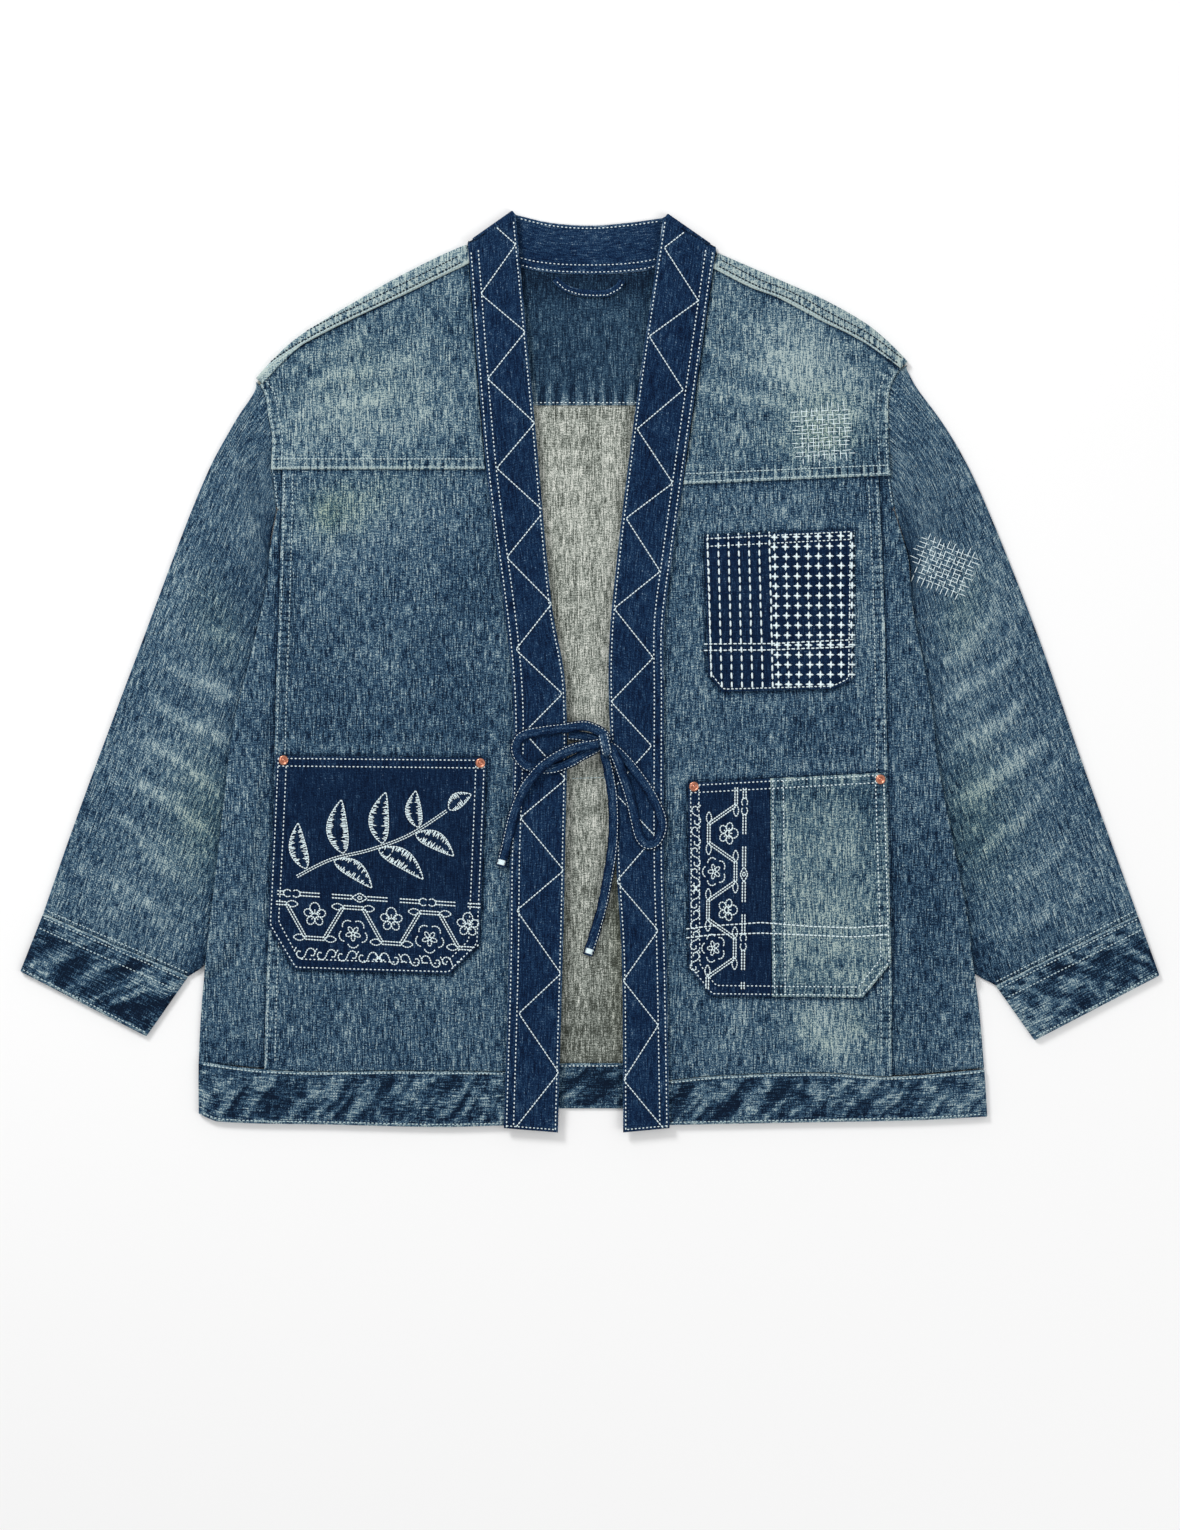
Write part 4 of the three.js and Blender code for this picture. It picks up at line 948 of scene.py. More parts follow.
def spline(points, t):
    """Points at shares t of the length of a smooth curve through points."""
    points = np.array(points, float)
    padded = np.vstack([points[:1], points, points[-1:]])
    dense = np.linspace(0, len(points) - 1, 900)
    i = np.minimum(dense.astype(int), len(points) - 2)
    w = (dense - i)[:, None]
    p0, p1, p2, p3 = (padded[i + k] for k in range(4))
    v0, v1 = (p2 - p0) / 2, (p3 - p1) / 2
    at = (2 * p1 - 2 * p2 + v0 + v1) * w**3 + (-3 * p1 + 3 * p2 - 2 * v0 - v1) * w**2 + v0 * w + p1
    lengths = np.concatenate([[0], np.cumsum(np.linalg.norm(np.diff(at, axis=0), axis=1))])
    places = np.asarray(t) * lengths[-1]
    return joined(*(np.interp(places, lengths, column) for column in at.T))


def flat_tube(outer, inner, thickness, room, upper, lower):
    """Rows of a flattened ring between two edges: returns at, out, and each node's share across."""
    radius = (2 * thickness + room) / 2
    width = np.linalg.norm(inner - outer, axis=1, keepdims=True)
    along = (inner - outer) / width
    first, first_out = half_turn(outer, -along, np.zeros(len(outer)), radius, thickness, 5)
    second, second_out = half_turn(inner, along, np.zeros(len(outer)), radius, thickness, 5)

    def layer(shares, z, out):
        xy = outer[:, None] + (inner - outer)[:, None] * shares[None, :, None]
        at = np.concatenate([xy, np.full((*xy.shape[:2], 1), z)], -1)
        return at, up(xy.shape[:2]) * out

    start = radius / float(width.mean())
    top_shares = lerp(start, 1 - start, upper)[1:-1]
    low_shares = lerp(1 - start, start, lower)[1:-1]
    top, top_out = layer(top_shares, 2 * radius - thickness / 2, 1)
    low, low_out = layer(low_shares, thickness / 2, -1)
    at = np.concatenate([first, top, second[:, ::-1], low], 1)
    out = np.concatenate([first_out, top_out, second_out[:, ::-1], low_out], 1)
    shares = np.concatenate([np.zeros(6), top_shares, np.ones(6), low_shares])
    is_top = np.concatenate([np.arange(6) > 2, np.ones(len(top_shares), bool), np.arange(6)[::-1] > 2,
                             np.zeros(len(low_shares), bool)])
    return at, out, shares, is_top


# Soft folds of each sleeve in its own sizes: (share across, share along) of both ends, then width in mm,
# height and fade. 0 across is the outer edge, and 0 along is the armhole.
SLEEVE_FOLDS = {
    "right": [(0.12, 0.50, 0.70, 0.44, 6, 0.9, 0.16), (0.16, 0.57, 0.78, 0.52, 6, 0.9, 0.18),
              (0.14, 0.64, 0.74, 0.62, 6, 0.8, 0.16), (0.18, 0.71, 0.80, 0.71, 7, 0.8, 0.14),
              (0.14, 0.78, 0.66, 0.82, 6, 0.6, 0.12), (0.30, 0.40, 0.80, 0.30, 7, 0.7, 0.08),
              (0.20, 0.20, 0.60, 0.10, 8, 0.6, 0.04), (0.25, 0.88, 0.75, 0.92, 6, 0.7, 0.10)],
    "left": [(0.10, 0.42, 0.62, 0.40, 6, 0.8, 0.12), (0.12, 0.50, 0.75, 0.46, 6, 0.9, 0.16),
             (0.16, 0.58, 0.80, 0.55, 6, 0.9, 0.17), (0.14, 0.66, 0.78, 0.64, 7, 0.8, 0.16),
             (0.20, 0.73, 0.72, 0.75, 6, 0.7, 0.14), (0.16, 0.82, 0.62, 0.86, 6, 0.6, 0.12),
             (0.25, 0.28, 0.70, 0.18, 8, 0.7, 0.06), (0.40, 0.92, 0.80, 0.90, 6, 0.6, 0.10)],
}
SLEEVE_SPOTS = {
    "right": [(80, 300, 46, 70, 10, 0.05), (90, 380, 60, 40, 0, 0.05), (60, 120, 40, 70, 0, -0.03),
              (20, 250, 14, 150, 0, 0.03), (120, 460, 50, 24, 0, 0.08)],
    "left": [(70, 170, 34, 40, 0, 0.10), (80, 300, 50, 70, 0, 0.06), (95, 390, 60, 40, 0, 0.05),
             (45, 90, 30, 50, 0, -0.04), (15, 250, 12, 150, 0, 0.03), (110, 380, 60, 80, 0, -0.07)],
}


SLEEVE_RUN, SLEEVE_SPAN = 480, 150
CUFF_SPAN, CUFF_DEPTH = 118, 56


def sleeve(name, side):
    v = spaced(SLEEVE_RUN, 2.8)
    outer, inner = spline(side.overarm, v), spline(side.underarm, v)
    at, out, across, is_top = flat_tube(outer, inner, CLOTH, SLACK, np.linspace(0, 1, 56),
                                        np.linspace(0, 1, 14))
    shoulder_x, shoulder_y = side.overarm[0]
    armpit_x, armpit_y = side.underarm[0]
    t = np.clip((shoulder_y - at[..., 1]) / (shoulder_y - armpit_y), 0, 1)
    bow = side.armhole(lerp(shoulder_y, armpit_y, t)) - lerp(shoulder_x, armpit_x, t)
    bowed = (1 - np.minimum(v * 15, 4) / 4)[:, None] ** 2
    at[..., 0] += bowed * bow
    u = np.broadcast_to(across[None], at.shape[:2])
    w = np.broadcast_to(v[:, None], at.shape[:2])
    under = 6 * ramp(u, 0.1, 0.2) * (1 - ramp(u, 0.4, 0.5)) * np.clip(1 - 15 * w, 0, 1) * is_top
    at[..., 0] -= side.sign * under
    width = np.linalg.norm(inner - outer, axis=1)[:, None]
    sx, sy = u * width, w * SLEEVE_RUN
    folds = [(a * SLEEVE_SPAN, b * SLEEVE_RUN, c * SLEEVE_SPAN, d * SLEEVE_RUN, size, rise, pale)
             for a, b, c, d, size, rise, pale in SLEEVE_FOLDS[name]]
    fold_height, fold_fade = ridges(sx, sy, folds)
    clear = ramp(u, 0, 0.3) * (1 - ramp(u, 0.5, 0.78)) * ramp(w, 0.02, 0.2) * (1 - ramp(w, 0.9, 1))
    soft = ramp(u, 0.02, 0.2) * (1 - ramp(u, 0.6, 0.8)) * ramp(w, 0.02, 0.12) * (1 - ramp(w, 0.93, 1))
    loft = SLEEVE_LOFT * clear * (0.8 + 0.2 * np.sin(18 * w + 4 * u))
    cuff_end = SLEEVE_RUN * (1 - w)
    gathers = 0.5 + 0.5 * np.cos(2 * math.pi * sx / 8.5 + 2.2 * noise(sx, 0 * sx, 22, 91))
    gather_zone = bell(cuff_end, 15) * ramp(cuff_end, 0, 2)
    height = is_top * (loft + fold_height * soft + 0.6 * gathers * gather_zone * ramp(u, 0.02, 0.1)
                       + soft * 0.4 * (1 + noise(sx, sy, (26, 40), 92)))
    rim = -0.10 * bell(u * width, 5) + 0.14 * bell(u * width - 3, 3) * (1 + noise(sx, sy, (6, 9), 93))
    body_shadow = -0.28 * bell((1 - u) * width, 22) * ramp(w, 0.0, 0.05)
    fade = (-0.06 + blobs(sx, sy, SLEEVE_SPOTS[name]) + 1.7 * fold_fade + 0.22 * (gathers - 0.5) * gather_zone
            + rim + 0.06 * noise(sx, sy, (30, 60), 94) + 0.05 * noise(sx, sy, (60, 12), 95) + body_shadow)
    stain = np.clip(blobs(sx, sy, [(110, 330, 40, 60, 0, 0.7), (60, 170, 30, 30, 0, 0.4)]), 0, 1)
    # the sleeve's inside is painted darker towards the armhole end: painted shade where the opening shows
    # beside the body
    piece = shell(f"sleeve_{name}_cloth", f"sleeve_{name}", at, out, CLOTH, (sx * side.sign, -sy),
                  fade, stain=stain, ring=True, raise_by=height, inside=fade - 0.8 * np.exp(-8 * w))

    # cuff
    v = spaced(64, 1.7)
    seam_ends = np.stack([outer[-1], inner[-1]])
    edges = np.array(side.cuff_edge, float)
    share = lerp(0.003, 1.0, v)[:, None]
    cuff_outer, cuff_inner = lerp(seam_ends[0], edges[0], share), lerp(seam_ends[1], edges[1], share)
    at, out, across, is_top = flat_tube(cuff_outer, cuff_inner, DOUBLED, GAP, spaced(125, 1.7),
                                        np.linspace(0, 1, 12))
    u = np.broadcast_to(across[None], at.shape[:2])
    w = np.broadcast_to(v[:, None], at.shape[:2])
    sx, sy = u * CUFF_SPAN, w * CUFF_DEPTH
    height, wear = crinkles(sx + 400 * (side is left), sy, CUFF_DEPTH)
    height = height * is_top * ramp(u, 0.0, 0.06) * (1 - ramp(u, 0.94, 1))
    rope = (0.5 * bell(sy - 0.8, 1.1) - 0.16 * bell(sy - 3.6, 1.3)
            + 0.3 * bell(sy - 55, 1.3))
    fade = -0.16 + wear + rope
    piece = shell(f"cuff_{name}_cloth", f"cuff_{name}", at, out, DOUBLED,
                  (sy, sx * side.sign), fade, ring=True, raise_by=height, materials=(worn, worn))


def crinkles(x, y, width):
    """The roped creases of a doubled band: x runs along it and y across, from its seam."""
    slant = x + 0.75 * y + 3.5 * noise(x, y, 17, 101)
    cells = (noise(slant, y, (6.5, 24), 102) + 0.7 * noise(x - 0.5 * y, y, (11, 15), 103)
             + 0.5 * noise(slant, y, (3.4, 11), 106))
    folds = np.clip(0.5 + 0.85 * cells, 0, 1)
    deep = np.clip(0.5 - 1.6 * np.abs(noise(slant, y, (13, 24), 104)), 0, 0.5) * 2
    inside = ramp(y, 1.5, 9) * (1 - ramp(y, width - 7, width - 1))
    rung = 0.5 + 0.5 * np.cos(2 * math.pi * x / 7.2 + 2.4 * noise(x, 0 * x, 20, 105))
    low = bell(y - (width - 6), 6) + bell(y - 7, 5)
    height = 1.1 * folds * inside + 0.4 * rung * low
    fade = inside * (0.52 * (folds - 0.45) - 0.34 * deep) + 0.26 * (rung - 0.5) * low
    return height, fade


for side_name, one in SIDES.items():
    sleeve(side_name, one)

# Hem band ---------------------------------------------------------------------------------------


HEM_DEPTH = 44
FRONT_OPENING = 80


def hem_band():
    base = FRONT_BASE + CLOTH - DOUBLED
    outer_radius = (FRONT_BASE + CLOTH) / 2
    v = spaced(HEM_DEPTH, 1.6)
    halves = []
    for side in (right, left):
        fold_y = lerp(side.hem_seam(side.sign * 320), side.hem_edge(side.sign * 320), v)
        fold = side.side_fold(fold_y)
        flat = fold - side.sign * outer_radius
        inner = side.band_outer(fold_y) - side.sign * 5
        share = spaced(250, 1.7, 1.0)[None]
        x = lerp(flat[:, None], inner[:, None], share)
        y = lerp(side.hem_seam(x), side.hem_edge(x), v[:, None])
        front = joined(x, y, np.full(x.shape, base + DOUBLED / 2))
        back_x = lerp(flat[:, None], side.sign * 60, np.linspace(0, 1, 30)[None])
        back_y = lerp(back_hem_seam(back_x), back_hem_edge(back_x), v[:, None])
        back = joined(back_x, back_y, np.full(back_x.shape, DOUBLED / 2))
        away = joined(np.full(len(v), side.sign), np.zeros(len(v)))
        turn, turn_out = half_turn(joined(fold, fold_y), away, np.zeros(len(v)), outer_radius, DOUBLED, 6)
        at = np.concatenate([back[:, :0:-1], turn, front[:, 1:]], 1)
        out = np.concatenate([-up(back[:, 1:].shape[:2]), turn_out, up(front[:, 1:].shape[:2])], 1)
        halves.append((at, out))
    (ra, ro), (la, lo) = halves
    x = lerp(ra[:, :1, 0], la[:, :1, 0], np.linspace(0, 1, 64)[None, 1:-1])
    y = lerp(back_hem_seam(x), back_hem_edge(x), v[:, None])
    middle = joined(x, y, np.full(x.shape, DOUBLED / 2))
    at = np.concatenate([ra[:, ::-1], middle, la], 1)
    out = np.concatenate([ro[:, ::-1], -up(x.shape), lo], 1)
    x, y = at[..., 0], at[..., 1]
    across = np.broadcast_to(v[:, None] * HEM_DEPTH, x.shape)
    height, wear = crinkles(x, across, HEM_DEPTH)
    crease = height
    upper = out[..., 2] > 0.3
    inside = by_side(x, lambda s: s.sign * (s.side_fold(y) - x))
    height = np.where(upper, height * ramp(inside, 1, 12), 0)
    inner_height = np.where((out[..., 2] < -0.9) & (np.abs(x) < FRONT_OPENING), -0.7 * crease, 0)
    rope = (0.42 * bell(across - 0.9, 1.1) - 0.10 * bell(across - 3.8, 1.4)
            + 0.34 * bell(across - 43, 1.4))
    fade = -0.18 + wear + rope + blobs(x, y, [(230, -345, 50, 20, 0, 0.16)])
    shade = np.where(np.abs(x) < FRONT_OPENING, -0.12, 0)
    piece = shell("hem_band_cloth", "hem_band", at, out, DOUBLED, (across, x), fade,
                  inside=fade + shade, raise_by=height + inner_height, materials=(worn, worn))


hem_band()

# Collar band ------------------------------------------------------------------------------------


BAND_WIDTH, BAND_RUN, BAND_LENGTH = 44, 735, 1880


def collar_band():
    radius = BAND_TOP / 2 - FACED / 2
    share = spaced(BAND_WIDTH, 2.6)
    right_fold, left_fold = [(NECK_RIGHT_X, 353.4), (-61.5, 376.4)], [(NECK_LEFT_X, 349.3), (61.5, 373.9)]

    def front(side, top):
        bottom = [(float(side.band_outer(-372)), -371.6), (float(side.band_inner(-372)), -375.2)]
        v = spaced(BAND_RUN, 3.0)[:-1]
        outer_y, inner_y = lerp(bottom[0][1], top[0][1], v), lerp(bottom[1][1], top[1][1], v)
        outer = joined(side.band_outer(outer_y), outer_y)
        inner = joined(side.band_inner(inner_y), inner_y)
        xy = outer[:, None] + (inner - outer)[:, None] * share[None, :, None]
        z = LAP_BASE + FACED / 2 + drape(xy[..., 0], xy[..., 1]) * (1 - ramp(xy[..., 1], 250, 330))
        return np.concatenate([xy, z[..., None]], -1), up(xy.shape[:2]), v * BAND_RUN

    def fold(top):
        outer, inner = np.array(top[0]), np.array(top[1])
        length = np.linalg.norm(inner - outer)
        away = np.array([-(inner - outer)[1], (inner - outer)[0]]) / length
        away = away if away[1] > 0 else -away
        angle = np.radians(np.linspace(90, -90, 9))
        xy = outer + (inner - outer) * share[None, :, None] + away * (radius * np.cos(angle))[:, None, None]
        z = np.broadcast_to((BAND_TOP / 2 + radius * np.sin(angle))[:, None, None], (*xy.shape[:2], 1))
        out = joined(away[0] * np.cos(angle), away[1] * np.cos(angle), np.sin(angle))
        out = np.broadcast_to(out[:, None], xy.shape[:2] + (3,)).copy()
        return np.concatenate([xy, z], -1), out, BAND_RUN + angle * 0

    low_x = np.linspace(NECK_RIGHT_X, NECK_LEFT_X, 70)[1:-1]
    high_x = lerp(-61.5, 61.5, (low_x + 94.3) / 191.1)
    low, high = joined(low_x, neck_seam(low_x)), joined(high_x, neck_top(high_x))
    xy = low[:, None] + (high - low)[:, None] * share[None, :, None]
    behind = np.concatenate([xy, np.full((*xy.shape[:2], 1), FACED / 2)], -1)
    parts = [front(right, right_fold), fold(right_fold), (behind, -up(behind.shape[:2]), 745 + low_x + 94.3)]
    for at, out, along in (fold(left_fold), front(left, left_fold)):
        parts.append((at[::-1], out[::-1], BAND_LENGTH - along[::-1]))
    at, out = np.concatenate([p[0] for p in parts]), np.concatenate([p[1] for p in parts])
    along = np.concatenate([p[2] for p in parts])[:, None] + 0 * share[None]
    across = 0 * along + share[None] * BAND_WIDTH
    wave = 0.3 * (1 + noise(across, along, (20, 46), 111)) * (out[..., 2] > 0.9)
    fade = (0.04 + 0.05 * noise(across, along, (20, 70), 112) + 0.05 * noise(across, along, (6, 22), 113)
            + 0.10 * bell(across - 4.8, 4.5) * noise(across, along, (6, 5), 114)
            + 0.22 * bell(across, 1.2) + 0.22 * bell(across - BAND_WIDTH, 1.2))
    fade = fade - 0.12 * (out[..., 2] > -0.5)
    behind_shade = -0.04 * (out[..., 2] < -0.5)
    piece = shell("collar_band_cloth", "collar_band", at, out, FACED, (across, along),
                  fade + behind_shade, inside=fade + behind_shade, raise_by=wave, materials=(dark, dark))


collar_band()

# Pockets ----------------------------------------------------------------------------------------


def pocket(name, materials, fade_of, cell=2.2):
    rows = POCKETS[name]
    down = []
    for k in range(3):
        run = abs(rows[k + 1][0][1] - rows[k][0][1])
        count = max(3, round(run / cell))
        down += [k + n / count for n in range(count)]
    down = np.array([0, 0.012, *down[1:], 2.97, 3])
    corners = np.array(rows)
    k = np.minimum(down.astype(int), 2)
    w = (down - k)[:, None]
    a, b = lerp(corners[k, 0], corners[k + 1, 0], w), lerp(corners[k, 1], corners[k + 1, 1], w)
    share = spaced(float(np.linalg.norm(corners[0, 1] - corners[0, 0])), cell)
    xy = a[:, None] + (b - a)[:, None] * share[None, :, None]
    x, y = xy[..., 0], xy[..., 1]
    at = joined(x, y, LAP_BASE + lift(x, y) + drape(x, y) + CLOTH / 2 + 0.5)
    height, fade, stain = fade_of(x, y)
    piece = shell(f"{name}_cloth", name, at, up(x.shape), CLOTH, (x, y), fade, stain=stain,
                  raise_by=height, materials=materials)


def raw_pocket(rim_number):
    def fade_of(x, y):
        seams = [(POCKET_RIMS[rim_number],
                  dict(at=4.6, wide=3.8, rise=0.25, pitch=6.8, pale=0.07, rope=0.14, run=4))]
        height, wear = puckers(x, y, seams)
        fade = -0.03 + wear + 0.04 * noise(x, y, (40, 60), 121) + 0.04 * noise(x, y, (9, 26), 122)
        return height + 0.15 * (1 + noise(x, y, 40, 123)), fade, 0.0

    return fade_of


def pale_pocket(x, y):
    seams = [(POCKET_RIMS[1], dict(at=5.0, wide=3.8, rise=0.5, pitch=6.0, pale=0.42, rope=0.26, run=5)),
             (Seam([(147.4, -85), (148, -165), (149, -264)]),
              dict(at=7, wide=5.0, rise=0.3, pitch=5.2, pale=0.26, rope=0.26, run=4))]
    height, wear = puckers(x, y, seams)
    inner_x = x - np.interp(y, [-264, -85], [149, 147.4])
    strip = 0.22 * bell(inner_x - 13.6, 1.2) - 0.10 * bell(inner_x - 6.5, 4.5)
    centre = blobs(x, y, [(198, -140, 36, 46, 0, 0.17), (205, -205, 34, 30, 0, 0.16),
                          (165, -190, 12, 60, 0, 0.12), (190, -100, 50, 10, 0, -0.10),
                          (218, -250, 26, 14, 0, 0.14), (232, -110, 12, 24, 0, -0.10),
                          (198, -225, 50, 26, 0, 0.06)])
    bands = 0.05 * noise(x, y, (50, 6), 131) + 0.05 * noise(x, y, (6, 40), 132)
    return height + 0.15 * (1 + noise(x, y, 30, 133)), -0.04 + wear + strip + centre + bands, 0.35


pocket("pocket_lower_right", (raw, raw), raw_pocket(0))
pocket("pocket_lower_left_dark", (raw, raw), raw_pocket(1))
pocket("pocket_lower_left_pale", (worn, wrong), pale_pocket)
pocket("pocket_chest", (raw, raw), raw_pocket(2))

# Hanger loop ------------------------------------------------------------------------------------


LOOP_LENGTH = 66


def hanger_loop():
    route = [(-28.7, 323.5), (-21.3, 316.5), (-9, 312.4), (2.5, 311.5), (13.9, 311.8), (23, 316.5),
             (26.2, 322.5)]
    t = spaced(LOOP_LENGTH, 1.6)
    centre = spline(route, t)
    tangent = np.gradient(centre, axis=0)
    tangent /= np.linalg.norm(tangent, axis=1, keepdims=True)
    side_way = joined(-tangent[:, 1], tangent[:, 0])
    offsets = np.linspace(-3, 3, 7)
    xy = centre[:, None] + side_way[:, None] * offsets[None, :, None]
    crown = 0.5 * (1 - (offsets / 3) ** 2)
    z = BACK_TOP + CLOTH + 2 * GAP + CLOTH / 2 + 0.6 + crown[None] + 0 * xy[..., 0]
    at = np.concatenate([xy, z[..., None]], -1)
    along = t[:, None] * LOOP_LENGTH + 0 * offsets[None]
    fade = -0.04 + 0.08 * noise(along, 0 * along, 6, 141) + 0.2 * bell(np.abs(offsets) - 3, 0.7)[None]
    piece = shell("hanger_loop_cloth", "hanger_loop", at, up(xy.shape[:2]), CLOTH,
                  (0 * along + offsets[None], along), fade, materials=(dark, dark))


hanger_loop()

# Rivets -----------------------------------------------------------------------------------------


def lathe(profile, segments):
    angle = np.linspace(0, 2 * math.pi, segments, endpoint=False)
    corners, faces = [], []
    for r, z in profile:
        corners.append(joined(r * np.cos(angle), r * np.sin(angle), np.full(segments, z)))
    for i in range(len(profile) - 1):
        a = i * segments + np.arange(segments)
        b = i * segments + (np.arange(segments) + 1) % segments
        faces.append(joined(a, b, b + segments, a + segments))
    return np.concatenate(corners), np.concatenate(faces)


RIVETS = {"rivet_right_side": (-250.6, -70.7), "rivet_right_front": (-89.6, -73),
          "rivet_left_front": (85, -92.2), "rivet_left_side": (237.6, -86.3)}
RIVET_PROFILE = [(0.02, -0.4), (3.9, -0.4), (4.1, 0.1), (3.9, 0.8), (3.3, 1.3), (2.8, 1.3), (2.3, 0.5),
                 (1.8, 0.3), (1.5, 0.7), (1.1, 1.25), (0.7, 1.4), (0.02, 1.4)]
for rivet_name, (rx, ry) in RIVETS.items():
    corners, faces = lathe(RIVET_PROFILE, 40)
    rivet_at = np.array(rx), np.array(ry)
    level = LAP_BASE + CLOTH + 0.9 + float(lift(*rivet_at) + drape(*rivet_at))
    rivet = mesh_object(f"{rivet_name}_cap", corners + np.array([rx, ry, level]), faces, [copper])
    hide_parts(rivet_name)

# Ties -------------------------------------------------------------------------------------------

ON_BAND = BAND_TOP + GAP
OVER_STRAP = ON_BAND + TIE_THICKNESS + 2 * GAP
ON_BACK = BACK_TOP + GAP
ON_FRONT = FRONT_BASE + CLOTH + GAP
TIE_ROUTES = {
    "tie_right": [(-17.6, -50, 4.6), (-11, -50.6, 4.9), (-4, -51.8, 5.6), (4, -53.8, 7.0),
                  (11, -56, ON_BAND + 1.0),
                  (13.4, -51.5, ON_BAND + 2.4), (5.4, -45.6, ON_BAND + 1.8),
                  (-5, -42.4, ON_BAND + 1), (-21, -44.4, ON_BAND), (-41.8, -47.1, ON_BAND),
                  (-56, -51, ON_BAND),
                  (-61, -61, ON_BAND), (-56, -72.2, ON_BAND), (-45.7, -77.4, ON_BAND), (-30, -77.6, ON_BAND),
                  (-16, -72.5, ON_BAND), (-4, -65.5, ON_BAND), (6, -60.5, ON_BAND),
                  (10, -56.5, ON_BAND + 1.6),
                  (3.4, -57.6, OVER_STRAP + 0.6), (-12.3, -60.7, OVER_STRAP), (-25.4, -66.4, OVER_STRAP),
                  (-38, -74.6, OVER_STRAP), (-47.5, -84.6, OVER_STRAP), (-54.4, -94.3, ON_BAND + 1.2),
                  (-60, -107, ON_BAND), (-64, -120, ON_BAND), (-69.2, -142.7, ON_BAND),
                  (-73.2, -157.4, ON_FRONT + 1.4)],
    "tie_left": [(15.5, -58.5, ON_BAND), (21.9, -62.7, ON_BAND), (33.4, -74.6, ON_BAND),
                 (47.6, -94.3, ON_BAND),
                 (57.4, -113.6, ON_BAND), (59, -126.3, ON_BAND), (54.5, -137, ON_BAND), (47.2, -140, ON_BAND),
                 (40.6, -134, ON_BAND), (36.4, -118.5, ON_BAND), (32.6, -102, ON_BAND + 0.4),
                 (27, -84.6, OVER_STRAP - 0.4), (21, -68.2, OVER_STRAP + 0.6),
                 (15.2, -59.5, OVER_STRAP + 0.6),
                 (12.2, -62.6, ON_BAND + 1.2), (13.1, -68.6, ON_BAND), (15.6, -81.2, ON_BAND),
                 (18.6, -100.9, ON_BAND),
                 (19.4, -126.3, ON_BAND), (17.6, -148, ON_BAND), (14.4, -168, ON_BAND - 1.6),
                 (10.6, -188, ON_BACK + 2), (5.4, -207.5, ON_BACK + 0.2), (-1.9, -230.4, ON_BACK)],
}


def strap(name, route, nodes, step=1.9):
    points = np.array(route, float)
    points[:, 2] += TIE_THICKNESS / 2
    rough = np.linalg.norm(np.diff(spline(points, np.linspace(0, 1, 400)), axis=0), axis=1).sum()
    t = np.linspace(0, 1, int(rough / step))
    centre = spline(points, t)
    centre[:, 2] += drape(centre[:, 0], centre[:, 1]) * 0.9
    tangent = np.gradient(centre, axis=0)
    tangent /= np.linalg.norm(tangent, axis=1, keepdims=True)
    sideways = joined(-tangent[:, 1], tangent[:, 0], 0 * tangent[:, 0])
    sideways /= np.linalg.norm(sideways, axis=1, keepdims=True)
    upwards = np.cross(tangent, sideways)
    upwards *= np.sign(upwards[:, 2:3])
    w, h = TIE_WIDTH / 2, TIE_THICKNESS / 2
    section = [(-w, -0.3), (-w + 0.5, -h), (0, -h - 0.05), (w - 0.5, -h), (w, -0.3), (w - 0.1, 0.5),
               (w - 0.9, h), (w * 0.45, h + 0.25), (0, h + 0.35), (-w * 0.45, h + 0.25), (-w + 0.9, h),
               (-w + 0.1, 0.5)]
    s = np.array(section)
    ripple = 1 + 0.04 * np.sin(np.arange(len(t)) * 0.9)[:, None]
    corners = (centre[:, None] + sideways[:, None] * (s[None, :, 0] * ripple)[..., None]
               + upwards[:, None] * s[None, :, 1, None])
    n = len(section)
    ring = np.arange(len(t) * n).reshape(len(t), n)
    wrap = np.hstack([ring, ring[:, :1]])
    faces = joined(wrap[:-1, :-1], wrap[:-1, 1:], wrap[1:, 1:], wrap[1:, :-1]).reshape(-1, 4)
    caps = []
    for row, flip in ((0, False), (len(t) - 1, True)):
        for k in range(5):
            quad = [ring[row, k], ring[row, k + 1], ring[row, n - 2 - k], ring[row, n - 1 - k]]
            caps.append(quad[::-1] if flip else quad)
    caps = [q for q in caps if len(set(q)) == 4]
    faces = np.concatenate([faces, np.array(caps)])
    flat = corners.reshape(-1, 3)
    probe = np.cross(flat[faces[0, 1]] - flat[faces[0, 0]], flat[faces[0, 3]] - flat[faces[0, 0]])
    if probe @ (flat[faces[0, 0]] - centre[0]) < 0:
        faces = faces[:, ::-1]
    piece = mesh_object(f"{name}_strap", flat, faces, [dark])
    along = np.repeat(t * rough, n)
    around = np.tile(s[:, 0], len(t))
    weave_map(piece, faces, joined(around, along))
    # the crown is painted lighter and the sides darker: painted shading that rounds the strap, with a painted
    # shadow along its edges
    crown = 1 - (np.abs(around) / w) ** 2
    attribute(piece, "fade", -0.30 + 0.36 * crown + 0.06 * noise(along, around, (9, 9), 151))
    attribute(piece, "stain", 0 * around)
    for node in nodes:
        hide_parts(node)
    return piece, centre, sideways, upwards, rough


